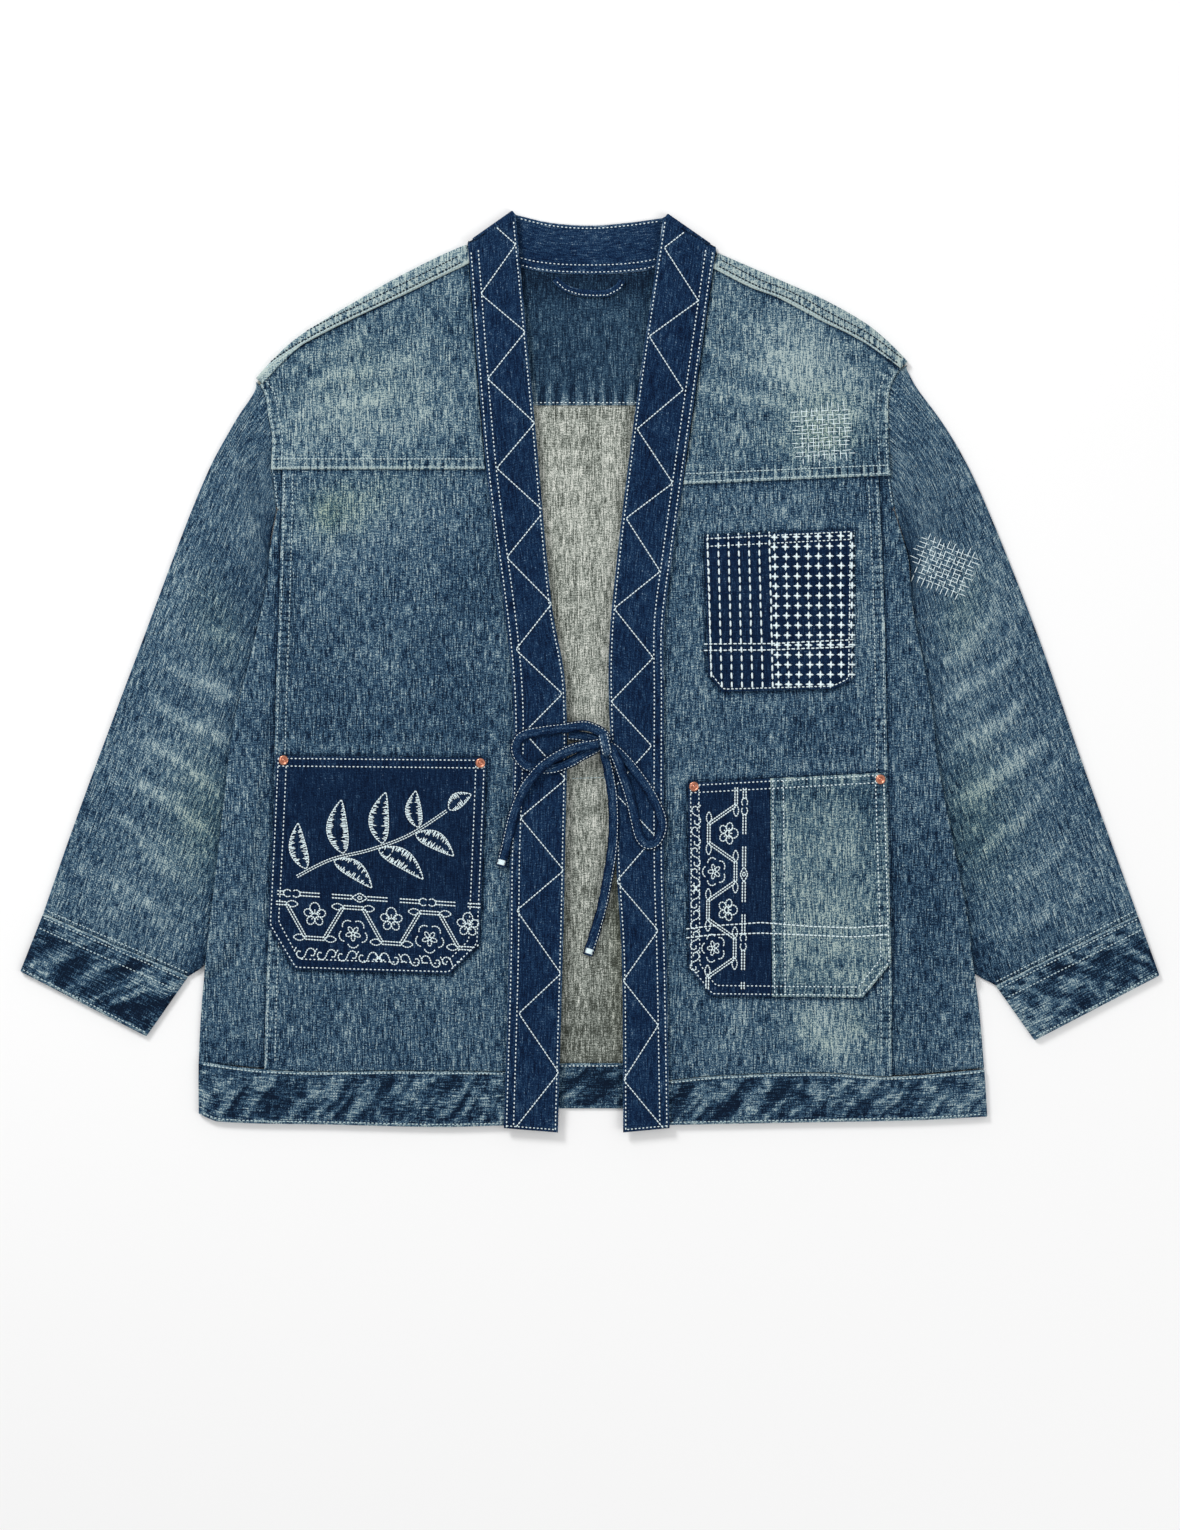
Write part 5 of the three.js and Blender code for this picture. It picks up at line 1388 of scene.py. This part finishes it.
def knot():
    """The wrap of the bow: a short strap that goes once round the crossing."""
    cx, cy = KNOT_CENTRE
    turn = np.linspace(0, 2 * math.pi, 41)[:-1]
    lean = math.radians(12)
    along = np.array([math.cos(lean), math.sin(lean), 0])
    over = np.array([-math.sin(lean), math.cos(lean), 0])
    half_run, half_rise = 8.2, 4.6
    middle = np.array([cx - 1.6, cy - 2, ON_BAND + 4.4])
    ring_at = middle + np.outer(np.sign(np.cos(turn)) * np.abs(np.cos(turn)) ** 0.75 * half_run, over)
    ring_at = ring_at + np.outer(np.sin(turn) * half_rise, [0, 0, 1])
    outwards = np.outer(np.cos(turn) / half_run, over) + np.outer(np.sin(turn) / half_rise, [0, 0, 1])
    outwards /= np.linalg.norm(outwards, axis=1, keepdims=True)
    offsets = np.linspace(-1, 1, 9)
    bulge = 0.7 * (1 - offsets**2) - 0.5 * offsets**4
    at = (ring_at[:, None] + along * (offsets * TIE_WIDTH / 2)[None, :, None]
          + outwards[:, None] * bulge[None, :, None])
    out = np.broadcast_to(outwards[:, None], at.shape).copy()
    at, out = at.transpose(1, 0, 2), out.transpose(1, 0, 2)
    s = np.broadcast_to((turn / (2 * math.pi) * 30)[None], at.shape[:2])
    u = np.broadcast_to((offsets * 4)[:, None], at.shape[:2])
    # lighter across the middle and darker at the edges: painted shading that rounds the wrap
    fade = 0.16 * (1 - (np.abs(u) / 4) ** 4) + 0.04 + 0.08 * noise(s, u, 4, 161)
    upper = (turn > 0.35) & (turn < math.pi - 0.35)
    rims = [(ring_at + along * side * (TIE_WIDTH / 2 - 1.1) + outwards * 1.0)[upper] for side in (-1, 1)]
    return rims, shell("tie_knot_wrap", "tie_knot", at, out, 1.6, (u, s), fade, ring=True,
                       materials=(dark, dark))


knot_rims, knot_piece = knot()
tie_right, right_centre, right_side, right_up, right_length = strap(
    "tie_right", TIE_ROUTES["tie_right"], ["tie_right_base", "tie_loop_right", "tie_tail_right"])
tie_left, left_centre, left_side, left_up, left_length = strap(
    "tie_left", TIE_ROUTES["tie_left"], ["tie_loop_left", "tie_tail_left"])


# Stitches ---------------------------------------------------------------------------------------

trees = {}


def tree_of(name):
    if name not in trees:
        mesh = made[name].data
        corners = np.zeros(len(mesh.vertices) * 3, np.float32)
        mesh.vertices.foreach_get("co", corners)
        polygons = np.zeros(len(mesh.loops), np.int32)
        mesh.loops.foreach_get("vertex_index", polygons)
        trees[name] = BVHTree.FromPolygons(corners.reshape(-1, 3).tolist(), polygons.reshape(-1, 4).tolist())
    return trees[name]


def heights(points, names):
    """The height of the topmost of the named pieces under each point, in mm."""
    found = []
    for px, py in points:
        best = None
        for name in names:
            hit = tree_of(name).ray_cast(Vector((px * MM, py * MM, 0.1)), Vector((0, 0, -1)))[0]
            if hit is not None and (best is None or hit.z > best):
                best = hit.z
        found.append(math.nan if best is None else best / MM)
    return np.array(found)


class Threads:
    """Many stitches in one mesh."""

    def __init__(self):
        self.starts, self.ends, self.widths, self.rises = [], [], [], []

    def add(self, start, end, width=0.6, rise=0.35):
        self.starts.append(start)
        self.ends.append(end)
        self.widths.append(width)
        self.rises.append(rise)

    def make(self, name, material, slot="thread"):
        a, b = np.array(self.starts, float), np.array(self.ends, float)
        width, rise = np.array(self.widths)[:, None], np.array(self.rises)[:, None]
        run = b - a
        length = np.linalg.norm(run, axis=1, keepdims=True)
        run /= length
        side_way = joined(-run[:, 1], run[:, 0], 0 * run[:, 0])
        side_way /= np.linalg.norm(side_way, axis=1, keepdims=True)
        upwards = np.cross(run, side_way)
        upwards *= np.where(upwards[:, 2:3] < 0, -1, 1)
        count = len(a)
        rings = []
        for share in (0.22, 0.78):
            middle = a + run * length * share + upwards * rise
            for across, high in ((-0.5, 0.0), (0.0, 0.42), (0.5, 0.0), (0.0, -0.42)):
                rings.append(middle + side_way * width * across + upwards * width * high)
        corners = np.stack([a - upwards * 0.1, *rings, b - upwards * 0.1], 1).reshape(-1, 3)
        base = (np.arange(count) * 10)[:, None, None]
        quads = [(1 + k, 1 + (k + 1) % 4, 5 + (k + 1) % 4, 5 + k) for k in range(4)]
        ends = ([(0, 1 + (k + 1) % 4, 1 + k) for k in range(4)]
                + [(9, 5 + k, 5 + (k + 1) % 4) for k in range(4)])
        triangles = [q for a_, b_, c_, d_ in quads for q in ((a_, b_, c_), (a_, c_, d_))] + ends
        faces = (base + np.array(triangles)[None]).reshape(-1, 3)
        piece = mesh_object(name, corners, faces, [material])
        return piece


def resampled(points, step):
    points = np.array(points, float)
    lengths = np.concatenate([[0], np.cumsum(np.linalg.norm(np.diff(points, axis=0), axis=1))])
    count = max(1, round(lengths[-1] / step))
    places = np.linspace(0, lengths[-1], count + 1)
    return np.stack([np.interp(places, lengths, points[:, k]) for k in range(points.shape[1])], -1)


def row(threads, points, names, pitch=3.4, fill=0.6, width=0.95, rise=0.35, jitter=0.0, seed=1):
    """A run of stitches along a line of (x, y) points on the named pieces."""
    at = resampled(points, pitch)
    if jitter:
        index = np.arange(len(at))
        at = at + jitter * joined(*(noise(index * 3.1, index * 0, 2.3, seed + k) for k in (0, 1)))
    ends = at[:-1] + (at[1:] - at[:-1]) * fill
    start_z, end_z = heights(at[:-1], names), heights(ends, names)
    for (ax, ay), (bx, by), az, bz in zip(at[:-1], ends, start_z, end_z):
        if abs(az - bz) < 2.5:  # a stitch that misses the cloth has no height and is left out
            threads.add((ax, ay, az), (bx, by, bz), width, rise)


def offset_line(points, distance):
    """A line beside another, to its left."""
    points = np.array(points, float)
    tangent = np.gradient(points, axis=0)
    tangent /= np.linalg.norm(tangent, axis=1, keepdims=True)
    return points + joined(-tangent[:, 1], tangent[:, 0]) * distance


def at_heights(x_of, heights_, shift=0.0):
    """Points of a line of x for y, moved by shift across."""
    return [(float(x_of(y)) + shift, y) for y in heights_]


def at_places(y_of, places, shift=0.0):
    """Points of a line of y for x, moved by shift along."""
    return [(x, float(y_of(x)) + shift) for x in places]


body_threads, band_threads, pocket_threads, shoulder_threads = (Threads() for _ in range(4))
BAND, HEM = ["collar_band_cloth"], ["hem_band_cloth"]
for side_name, side in SIDES.items():
    s = side.sign
    panel, yoke = f"front_panel_{side_name}_cloth", f"front_yoke_{side_name}_cloth"
    low, high = float(side.armhole(165)), float(side.band_outer(160) + s * 1.5)
    yoke_row = seam_line(y_of=side.yoke_seam, low=low - s * 1.5, high=high)
    for rise_by in (1.7, 8.4):
        row(body_threads, np.array(yoke_row) + [0, rise_by], [yoke], 2.8, 0.9, 0.9)
    for inset in (1.9, 8.6):
        line_ = at_heights(side.side_seam, np.linspace(164, -318, 50), -s * inset)
        line_ = [(x_, y_) for x_, y_ in line_ if y_ < float(side.yoke_seam(x_)) - 1]
        row(body_threads, line_, [panel], 3.3, 0.66, 0.8)
    yoke_end = float(side.yoke_seam(s * 250))
    for inset in (2.0, 8.4):
        armhole_rows = np.linspace(yoke_end + 1, side.shoulder_tip + (2 if side is right else -6), 16)
        row(body_threads, at_heights(side.armhole, armhole_rows, -s * inset), [yoke], 3.2, 0.7, 0.85)
    below = at_heights(side.armhole, np.linspace(yoke_end - 3, ARMPIT_Y, 6), -s * 1.8)
    row(body_threads, below, ["back_panel_cloth"], 3.2, 0.7, 0.85)
    ends = (-264, -104) if side is right else (104, 250)
    shoulder_line = seam_line(y_of=side.shoulder_seam, low=ends[0], high=ends[1])
    row(body_threads, offset_line(shoulder_line, 1.6), ["back_yoke_cloth"], 2.8, 0.93, 0.95)
    for inset in (3.2, 8.8):
        row(shoulder_threads, offset_line(shoulder_line, inset), ["back_yoke_cloth"], 3.0, 0.85, 1.05)
    hem_x = (float(side.side_fold(-330)) - s * 4, float(side.band_outer(-330)) + s * 1)
    for y_of, shift, stitch in ((side.hem_seam, -2.0, (3.1, 0.8, 1.05)),
                                (side.hem_edge, 2.2, (3.3, 0.68, 0.85))):
        hem_row = np.array(seam_line(y_of=y_of, low=hem_x[0], high=hem_x[1])) + [0, shift]
        row(body_threads, hem_row, HEM, *stitch)
    rows_y = np.linspace(-371, 346, 90)
    for inset in (2.2, 8.0):
        outer_row = [(float(side.band_outer(y)) - s * inset, y + 2 * (inset > 5)) for y in rows_y]
        row(band_threads, outer_row, BAND, 3.4, 0.58, 1.0)
    row(band_threads, at_heights(side.band_inner, np.linspace(-373, 371, 90), s * 2.2), BAND, 3.4, 0.58, 1.0)
    bottom = [(float(side.band_outer(-370)) - s * 2, -369.6), (float(side.band_inner(-370)) + s * 2, -372.8)]
    row(band_threads, bottom, BAND, 3.2, 0.6, 0.85)
    # cuff
    seam_ends = [np.array(side.overarm[-1]), np.array(side.underarm[-1])]
    edges = np.array(side.cuff_edge)
    cuff = f"cuff_{side_name}_cloth"
    for share in (0.065, 0.24, 0.955):
        a, b = lerp(seam_ends[0], edges[0], share), lerp(seam_ends[1], edges[1], share)
        a, b = lerp(a, b, 0.015), lerp(a, b, 0.985)
        row(body_threads, [a, b], [cuff], 3.2, 0.72, 0.9)
    sleeve_name = f"sleeve_{side_name}_cloth"
    first, last_ = spline(side.overarm, [0.993])[0], spline(side.underarm, [0.993])[0]
    row(body_threads, [lerp(first, last_, 0.02), lerp(first, last_, 0.98)], [sleeve_name], 3.2, 0.75, 0.9)

# behind the neck
for y_of, shift, first_x, last_x in ((neck_seam, 2.2, -56, 54), (neck_seam, 8.0, -57, 55),
                                     (neck_top, -2.4, -57, 57)):
    row(band_threads, at_places(y_of, np.linspace(first_x, last_x, 30), shift), BAND, 3.4, 0.58, 0.85)
row(band_threads, [(x_, BACK_SEAM_Y - LAP_WIDTH + 2.2) for x_ in np.linspace(-48, 40, 30)],
    ["back_yoke_facing_cloth"], 3.4, 0.6, 0.8)
loop_route = [(-27.2, 321), (-20.6, 314.6), (-9, 310.6), (2.5, 309.7), (14.2, 310.0), (24.2, 315.1),
              (27.2, 320)]
row(band_threads, loop_route, ["hanger_loop_cloth", "back_yoke_facing_cloth"], 3.0, 0.6, 0.8)
row(band_threads, at_places(back_hem_seam, np.linspace(-24, 24, 16), -2.2), HEM, 3.3, 0.68, 0.85)
row(body_threads, [(-15, -85.6), (15, -84.8)], ["back_panel_cloth"], 3.0, 0.95, 0.7)

# zigzags on the band
ZIGZAG = {
    "right": [(-76.3, 364.9), (-60.7, 351), (-89.4, 310.4), (-52.9, 279.6), (-83.6, 241.1), (-45.1, 205),
              (-76.3, 168.1), (-37.7, 132.8), (-68.1, 95.1), (-31.2, 57.4), (-60.7, 19.7), (-22.5, -16.4),
              (-53.7, -48), (-19.7, -86.1), (-57, -117.7), (-21.3, -160.7), (-59.9, -193.5), (-23.8, -245.2),
              (-58.2, -277.7), (-25.4, -326), (-62.3, -373)],
    "left": [(77.1, 361.1), (60.7, 348.5), (88.6, 305), (48.4, 275.9), (76.3, 232.1), (38.5, 200.1),
             (67.7, 155.8), (29.5, 127.1), (57.4, 83.6), (19.7, 53.3), (51.7, 13.1), (17.2, -23), (50.5, -59),
             (18, -95.1), (53.3, -132.8), (21.6, -169.7), (55.8, -209.9), (27.1, -250.9), (55.8, -287.4),
             (27.4, -332.1), (59.9, -371.5)],
}
for points in ZIGZAG.values():
    row(band_threads, points, BAND, 2.9, 1.0, 0.95, 0.4)

# Pockets: double rows, then sashiko and embroidery -------------------------------------------------


def pocket_rows(rows, names, insets, top_insets, width=0.95, pitch=3.4, fill=0.6):
    corners = np.array(rows, float)
    low_left, low_right = corners[3]
    for inset in insets:
        tl, bl, br, tr = corners[0, 0] + [inset, -1.5], corners[2, 0] + [inset, inset * 0.4], \
            corners[2, 1] + [-inset, inset * 0.4], corners[0, 1] + [-inset, -1.5]
        bend_l, bend_r = corners[1, 0] + [inset, 0], corners[1, 1] + [-inset, 0]
        dl, dr = low_left + [inset * 0.42, inset], low_right + [-inset * 0.42, inset]
        row(pocket_threads, [tl, bend_l, bl, dl, dr, br, bend_r, tr], names, pitch, fill, width)
    for inset in top_insets:
        a, b = corners[0, 0] + [1.5, -inset], corners[0, 1] + [-1.5, -inset]
        row(pocket_threads, [a, b], names, pitch, fill, width)


pocket_rows(POCKETS["pocket_lower_right"], ["pocket_lower_right_cloth"], (1.9, 8.6), (2.0, 8.2))
LOWER_LEFT_CLOTHS = ["pocket_lower_left_dark_cloth", "pocket_lower_left_pale_cloth"]
pocket_rows(LOWER_LEFT, LOWER_LEFT_CLOTHS, (1.9, 8.6), (2.0, 8.0))
pocket_rows(POCKETS["pocket_chest"], ["pocket_chest_cloth"], (2.2,), (1.9, 8.2), 0.9, 3.4, 0.75)
for inset in (2.0, 10.6):
    row(pocket_threads, [(147.4 + inset, -87), (148.2 + inset, -165), (149 + inset, -262)],
        LOWER_LEFT_CLOTHS[1:], 3.3, 0.66, 0.8)

sashiko = Threads()
chest = ["pocket_chest_cloth", "front_panel_left_cloth"]
for k in range(7):
    top_x, low_x = 96.2 + 8.4 * k, 99.4 + 8.35 * k
    top_y, low_y = 114.5 + 0.045 * 8.4 * k, (-4.5 if k == 0 else -13.0)
    row(sashiko, [(top_x, top_y), (low_x, low_y)], chest, 7.0, 0.84, 1.5, 0.55, 0.35, 200 + k)
for k in range(8):
    top_x, low_x = 150.6 + 9.05 * k, 154 + 8.6 * k
    for n in range(16):
        share = (n + 0.5) / 16
        x_, y_ = lerp(top_x, low_x, share), lerp(115.5 + 0.2 * k, -12.8, share)
        if x_ > 199 and n > 14:
            continue
        wobble = 0.5 * float(noise(k * 7.3, n * 5.1, 2.0, 210))
        arm = 3.5
        for ax, ay, bx, by in ((-arm, 0.2, arm, -0.1), (0.1, arm, -0.1, -arm)):
            p, q = (x_ + ax + wobble, y_ + ay), (x_ + bx + wobble, y_ + by)
            z = heights([p, q], chest)
            sashiko.add((*p, z[0]), (*q, z[1]), 1.6, 0.55)
for y_left, y_right in ((24.2, 28), (19, 22.2)):
    row(sashiko, [(93, y_left), (150, y_left + 0.6), (216, y_right)], chest, 4.0, 0.9, 1.05, 0.55, 0.3, 220)
for heights_ in (((98, -206.3), (140, -203.4), (180, -206.6), (215, -207.8), (243, -205.6)),
                 ((98, -213.6), (140, -212), (180, -213.8), (215, -215.2), (243, -213.2))):
    row(sashiko, [(78.5, heights_[0][1] - 2.5), *heights_, (247.5, heights_[-1][1] - 1)],
        [*LOWER_LEFT_CLOTHS, "front_panel_left_cloth"], 3.6, 0.92, 1.1, 0.45)

# Embroidery -------------------------------------------------------------------------------------

embroidery = Threads()


def embroider(points, names, place=lambda p: p, width=1.05, pitch=2.3):
    """A line of small close stitches through points put in place."""
    row(embroidery, [place(p) for p in points], names, pitch, 1.02, width, 0.35)


def arc(cx, cy, rx, ry, start, end, count=12, turn=0.0):
    angle = np.radians(np.linspace(start, end, count))
    c, s = math.cos(math.radians(turn)), math.sin(math.radians(turn))
    u, v = rx * np.cos(angle), ry * np.sin(angle)
    return [(cx + a * c - b * s, cy + a * s + b * c) for a, b in zip(u, v)]


def blossom(names, place, cx, cy, size, turn, outlined):
    """A five-petal flower: looped petals with a large one on top, or small petals in a lobed outline."""
    for k in range(5):
        a = math.radians(turn + 72 * k)
        along = (math.cos(a), math.sin(a))
        if outlined:
            embroider(arc(cx + 0.33 * size * along[0], cy + 0.33 * size * along[1], size * 0.26, size * 0.15,
                          0, 360, 11, math.degrees(a)), names, place, 0.9, 1.9)
            embroider(arc(cx + 0.66 * size * along[0], cy + 0.66 * size * along[1], size * 0.42, size * 0.42,
                          math.degrees(a) - 72, math.degrees(a) + 72, 10), names, place, 1.0, 2.0)
        else:
            grown = 1.3 if k == 0 else 1.0
            embroider(arc(cx + 0.58 * size * along[0], cy + 0.58 * size * along[1], size * 0.38 * grown,
                          size * 0.33 * grown, 0, 360, 14, math.degrees(a)), names, place, 1.0, 2.0)
            embroider([(cx + 0.16 * size * along[0], cy + 0.16 * size * along[1]),
                       (cx + 0.5 * size * along[0], cy + 0.5 * size * along[1])], names, place, 0.9, 1.9)


def leaf_oval(names, place, cx, cy, length, width):
    for sign in (-1, 1):
        t = np.linspace(-1, 1, 9)
        embroider([(cx + a * length / 2, cy + sign * width / 2 * (1 - a * a)) for a in t],
                  names, place, 0.95, 2.0)


# The border's own sizes, in mm along (s) and across (t): one repeat of its trapezoids and flowers.
REPEAT = 62.6
FLAT, SLOPE = 16.0, 15.3
HIGH_T, LOW_T = 9.2, 36.2
SCROLL_T = 50.0
BORDER_REPEAT = 55.5


def floral_band(names, place, start, end, phase, diamond):
    """A border along s from start to end, drawn by `place`: t runs across it from its plain line."""

    def clipped(points, width=1.05):
        kept = [p for p in points if start <= p[0] <= end]
        if len(kept) > 1:
            embroider(kept, names, place, width)

    def span(a, b, t_a, t_b):
        clipped([(lerp(a, b, w), lerp(t_a, t_b, w)) for w in np.linspace(0, 1, 12)])

    repeats = range(math.floor((start - phase) / REPEAT) - 1, math.ceil((end - phase) / REPEAT) + 1)
    for n in repeats:
        s0 = phase + n * REPEAT
        for shift in (0.0, 2.5):
            span(s0, s0 + FLAT, HIGH_T + shift, HIGH_T + shift)
            span(s0 + FLAT + SLOPE, s0 + 2 * FLAT + SLOPE, LOW_T + shift, LOW_T + shift)
            span(s0 + FLAT + shift - 1, s0 + FLAT + SLOPE + shift - 1, HIGH_T + 1.5, LOW_T + 1)
            span(s0 + 2 * FLAT + SLOPE - shift + 1, s0 + REPEAT - shift + 1, LOW_T + 1, HIGH_T + 1.5)
        for middle, t_, outlined, tip in ((s0 + 39.3, 18.5, False, 270), (s0 + 8, 31.5, True, 90)):
            if start + 8 < middle < end - 8:
                blossom(names, place, middle, t_, 9.6 if not outlined else 11.0, tip, outlined)
            for reach in (-18.6, 18.6):
                if start + 6 < middle + reach < end - 6:
                    leaf_oval(names, place, middle + reach, (LOW_T if outlined else HIGH_T) + 1.2, 10, 5.2)
    # the broken double line, with a diamond flower or a pair of curls in turn
    for n in range(-3, 4):
        s0 = diamond + n * BORDER_REPEAT
        for t_ in (0.6, 3.4):
            span(s0 - 23, s0 - 6, t_, t_)
            span(s0 + 6, s0 + 23, t_, t_)
        if n % 2 == 0:
            clipped([(s0 - 6.5, 2), (s0, 6), (s0 + 6.5, 2), (s0, -2), (s0 - 6.5, 2)])
            clipped(arc(s0, 2, 2.0, 1.7, 0, 360, 8), 0.9)
        else:
            clipped(arc(s0 - 3.6, 2, 3.4, 3.2, 40, 330, 10), 0.95)
            clipped(arc(s0 + 3.6, 2, 3.4, 3.2, 220, 510, 10), 0.95)
    # scrolls, mirrored about the middle
    middle = (start + end) / 2
    for way in (-1, 1):
        for k in range(5):
            c = middle + way * (8 + 17 * k)
            if not start + 10 < c < end - 8:
                continue
            hook = [(c + way * a, SCROLL_T + b) for a, b in
                    ((-3.2, 1.4), (-5.2, 2.2), (-6.8, 0.4), (-6.4, -2.8), (-3.6, -4.4), (-0.8, -3.0),
                     (0.6, 0.2), (2.0, 3.4), (5.0, 4.8), (7.8, 3.0), (8.0, -0.2), (6.2, -1.8), (4.6, -0.6))]
            embroider([tuple(p) for p in spline(hook, np.linspace(0, 1, 24))], names, place, 1.0, 2.0)
            embroider([(c + way * 8.2, SCROLL_T - 4.4), (c + way * 10.4, SCROLL_T - 1)],
                      names, place, 1.0, 2.0)
    embroider([(middle - 3, SCROLL_T - 3.4), (middle + 3, SCROLL_T + 3.4)], names, place)
    embroider([(middle - 3, SCROLL_T + 3.4), (middle + 3, SCROLL_T - 3.4)], names, place)


floral_band(["pocket_lower_right_cloth"], lambda p: (p[0], -176.8 - p[1] - 0.066 * (p[0] + 256)),
            -257.5, -88, -264.3, -188.3)
floral_band(["pocket_lower_left_dark_cloth"], lambda p: (127.5 - 0.82 * p[1] + 0.01 * (p[0] + 165), p[0]),
            -259, -92, -107.2, -164)


def sprig(names):
    """A generic sprig: a bent stem with pointed leaves, hatched like the rest of the hand stitching."""
    stem = spline([(-240, -166), (-212, -152), (-180, -144), (-148, -132), (-117, -112)],
                  np.linspace(0, 1, 30))
    for shift in (-0.9, 0.9):
        embroider(offset_line(stem, shift), names, width=0.85)
    leaves = [(0.10, 100, 38, 14), (0.26, -36, 38, 14), (0.34, 92, 44, 17), (0.52, -34, 44, 15),
              (0.58, 86, 42, 16), (0.76, -30, 36, 14), (0.82, 94, 30, 13), (1.0, 34, 22, 12)]
    for number, (share, turn, length, width) in enumerate(leaves):
        base = stem[int(share * 29)]
        c, s = math.cos(math.radians(turn)), math.sin(math.radians(turn))

        def put(u, v):
            return base[0] + u * c - v * s, base[1] + u * s + v * c

        t = np.linspace(0, 1, 14)
        half = width / 2 * np.sin(math.pi * t**0.8) ** 0.8
        bow = 0.10 * length * np.sin(math.pi * t)
        for sign in (-1, 1):
            embroider([put(2 + a * length, sign * b + w) for a, b, w in zip(t, half, bow)], names, width=0.95)
        for k in range(int(length / 1.5)):
            u = 0.10 + 0.84 * k / (length / 1.5)
            h = width / 2 * math.sin(math.pi * u**0.8) ** 0.8
            w = 0.10 * length * math.sin(math.pi * u)
            lean = 1.2 * float(noise(k * 3.7, number * 9.1, 1.9, 230))
            reach = 0.55 + 0.45 * float(noise(k * 5.3, number * 4.1, 1.7, 231))
            for sign in (-1, 1):
                p = put(2 + u * length + lean, w + sign * h)
                q = put(2 + u * length, w + sign * h * (1 - abs(reach)))
                z = heights([p, q], names)
                if math.dist(p, q) > 0.8:
                    embroidery.add((*p, z[0]), (*q, z[1]), 0.8, 0.35)


sprig(["pocket_lower_right_cloth"])

# Darns ------------------------------------------------------------------------------------------

darns = Threads()


def darn(names, centre, size, turn, counts, seed):
    """A crosshatch of long hand stitches, size across and along, with uneven ends."""
    c, s = math.cos(math.radians(turn)), math.sin(math.radians(turn))
    for way, count in enumerate(counts):
        across, along = (size[0], size[1]) if way == 0 else (size[1], size[0])
        for k in range(count):
            offset = ((k / (count - 1) - 0.5) * across * 0.62
                      + 0.8 * float(noise(k * 4.3, way * 8.0, 1.9, seed)))
            ends = [-along / 2 * (0.86 + 0.14 * float(noise(k * 6.1, way + 3.0, 1.7, seed + 1))),
                    along / 2 * (0.86 + 0.14 * float(noise(k * 6.1, way + 7.0, 1.7, seed + 2)))]
            points = []
            for t in np.linspace(0, 1, 6):
                u, v = offset + 0.6 * float(noise(t * 9, k * 5.0, 2.0, seed + 3)), lerp(ends[0], ends[1], t)
                u, v = (u, v) if way == 0 else (v, u)
                points.append((centre[0] + u * c - v * s, centre[1] + u * s + v * c))
            row(darns, points, names, 7.0 + 2.0 * (k % 3), 0.95, 0.62, 0.32, 0.2, seed + k)


darn(["front_yoke_left_cloth"], (191, 197), (56, 58), 3, (9, 11), 240)
darn(["sleeve_left_cloth", "back_panel_cloth"], (289, 88), (62, 50), -22, (10, 10), 260)

# Tie stitches and bar tacks
tie_threads = Threads()
TIES = ((right_centre, right_side, right_up, -1), (left_centre, left_side, left_up, 1))
for centre, side_way, up_way, sign in TIES:
    edge_line = centre + side_way * sign * (TIE_WIDTH / 2 - 1.2) + up_way * (TIE_THICKNESS / 2 + 0.05)
    at = resampled(edge_line, 2.9)
    for p, q in zip(at[:-1], at[1:]):
        tie_threads.add(p, p + (q - p) * 0.66, 0.5, 0.2)
for rim in knot_rims:
    at = resampled(rim, 2.9)
    for p, q in zip(at[:-1], at[1:]):
        tie_threads.add(p, p + (q - p) * 0.7, 0.65, 0.25)
for centre, side_way, up_way, _ in TIES:
    for k in range(6):
        middle = centre[-2] + (centre[-3] - centre[-2]) * 0.35 * k + up_way[-2] * (TIE_THICKNESS / 2 + 0.3)
        tie_threads.add(middle - side_way[-2] * 3.4, middle + side_way[-2] * 3.4, 0.9, 0.3)

for threads, threads_name, colour in (
        (body_threads, "topstitches_body", thread_grey), (band_threads, "topstitches_band", thread),
        (pocket_threads, "topstitches_pockets", thread),
        (shoulder_threads, "topstitches_shoulders", thread_blue), (sashiko, "sashiko_stitches", thread),
        (embroidery, "embroidery_stitches", thread), (darns, "darning_stitches", thread)):
    threads.make(threads_name, colour)
tie_stitches = tie_threads.make("tie_stitches", thread)

# Floor and light ----------------------------------------------------------------------------------

FLOOR_REACH = 6
WORLD_STRENGTH = 0.62
floor_mesh = bpy.data.meshes.new("floor")
floor_mesh.from_pydata([(x * FLOOR_REACH, y * FLOOR_REACH, 0) for x, y in ((-1, -1), (1, -1), (1, 1), (-1, 1))],
                       [], [(0, 1, 2, 3)])
floor = placed("floor", floor_mesh)
floor_material, _, _, floor_shader = fresh("floor")
floor_shader.inputs["Base Color"].default_value = (0.9, 0.9, 0.9, 1)
floor_shader.inputs["Roughness"].default_value = 0.9
floor_mesh.materials.append(floor_material)


def area_light(name, place, size, power):
    light = bpy.data.lights.new(name, "AREA")
    light.shape = "DISK"
    light.size = size
    light.energy = power
    piece = placed(name, light)
    piece.location = place
    piece.rotation_mode = "QUATERNION"
    piece.rotation_quaternion = (-Vector(place)).to_track_quat("-Z", "Y")


area_light("key", (-1.6, 2.0, 1.9), 1.0, 62)
area_light("fill", (2.0, -1.0, 2.2), 2.0, 22)
world = bpy.data.worlds.new("studio")
bpy.context.scene.world = world
world.use_nodes = True
backdrop = world.node_tree.nodes["Background"].inputs
backdrop["Color"].default_value = (1, 1, 1, 1)
backdrop["Strength"].default_value = WORLD_STRENGTH
bpy.context.scene.view_settings.view_transform = "Standard"
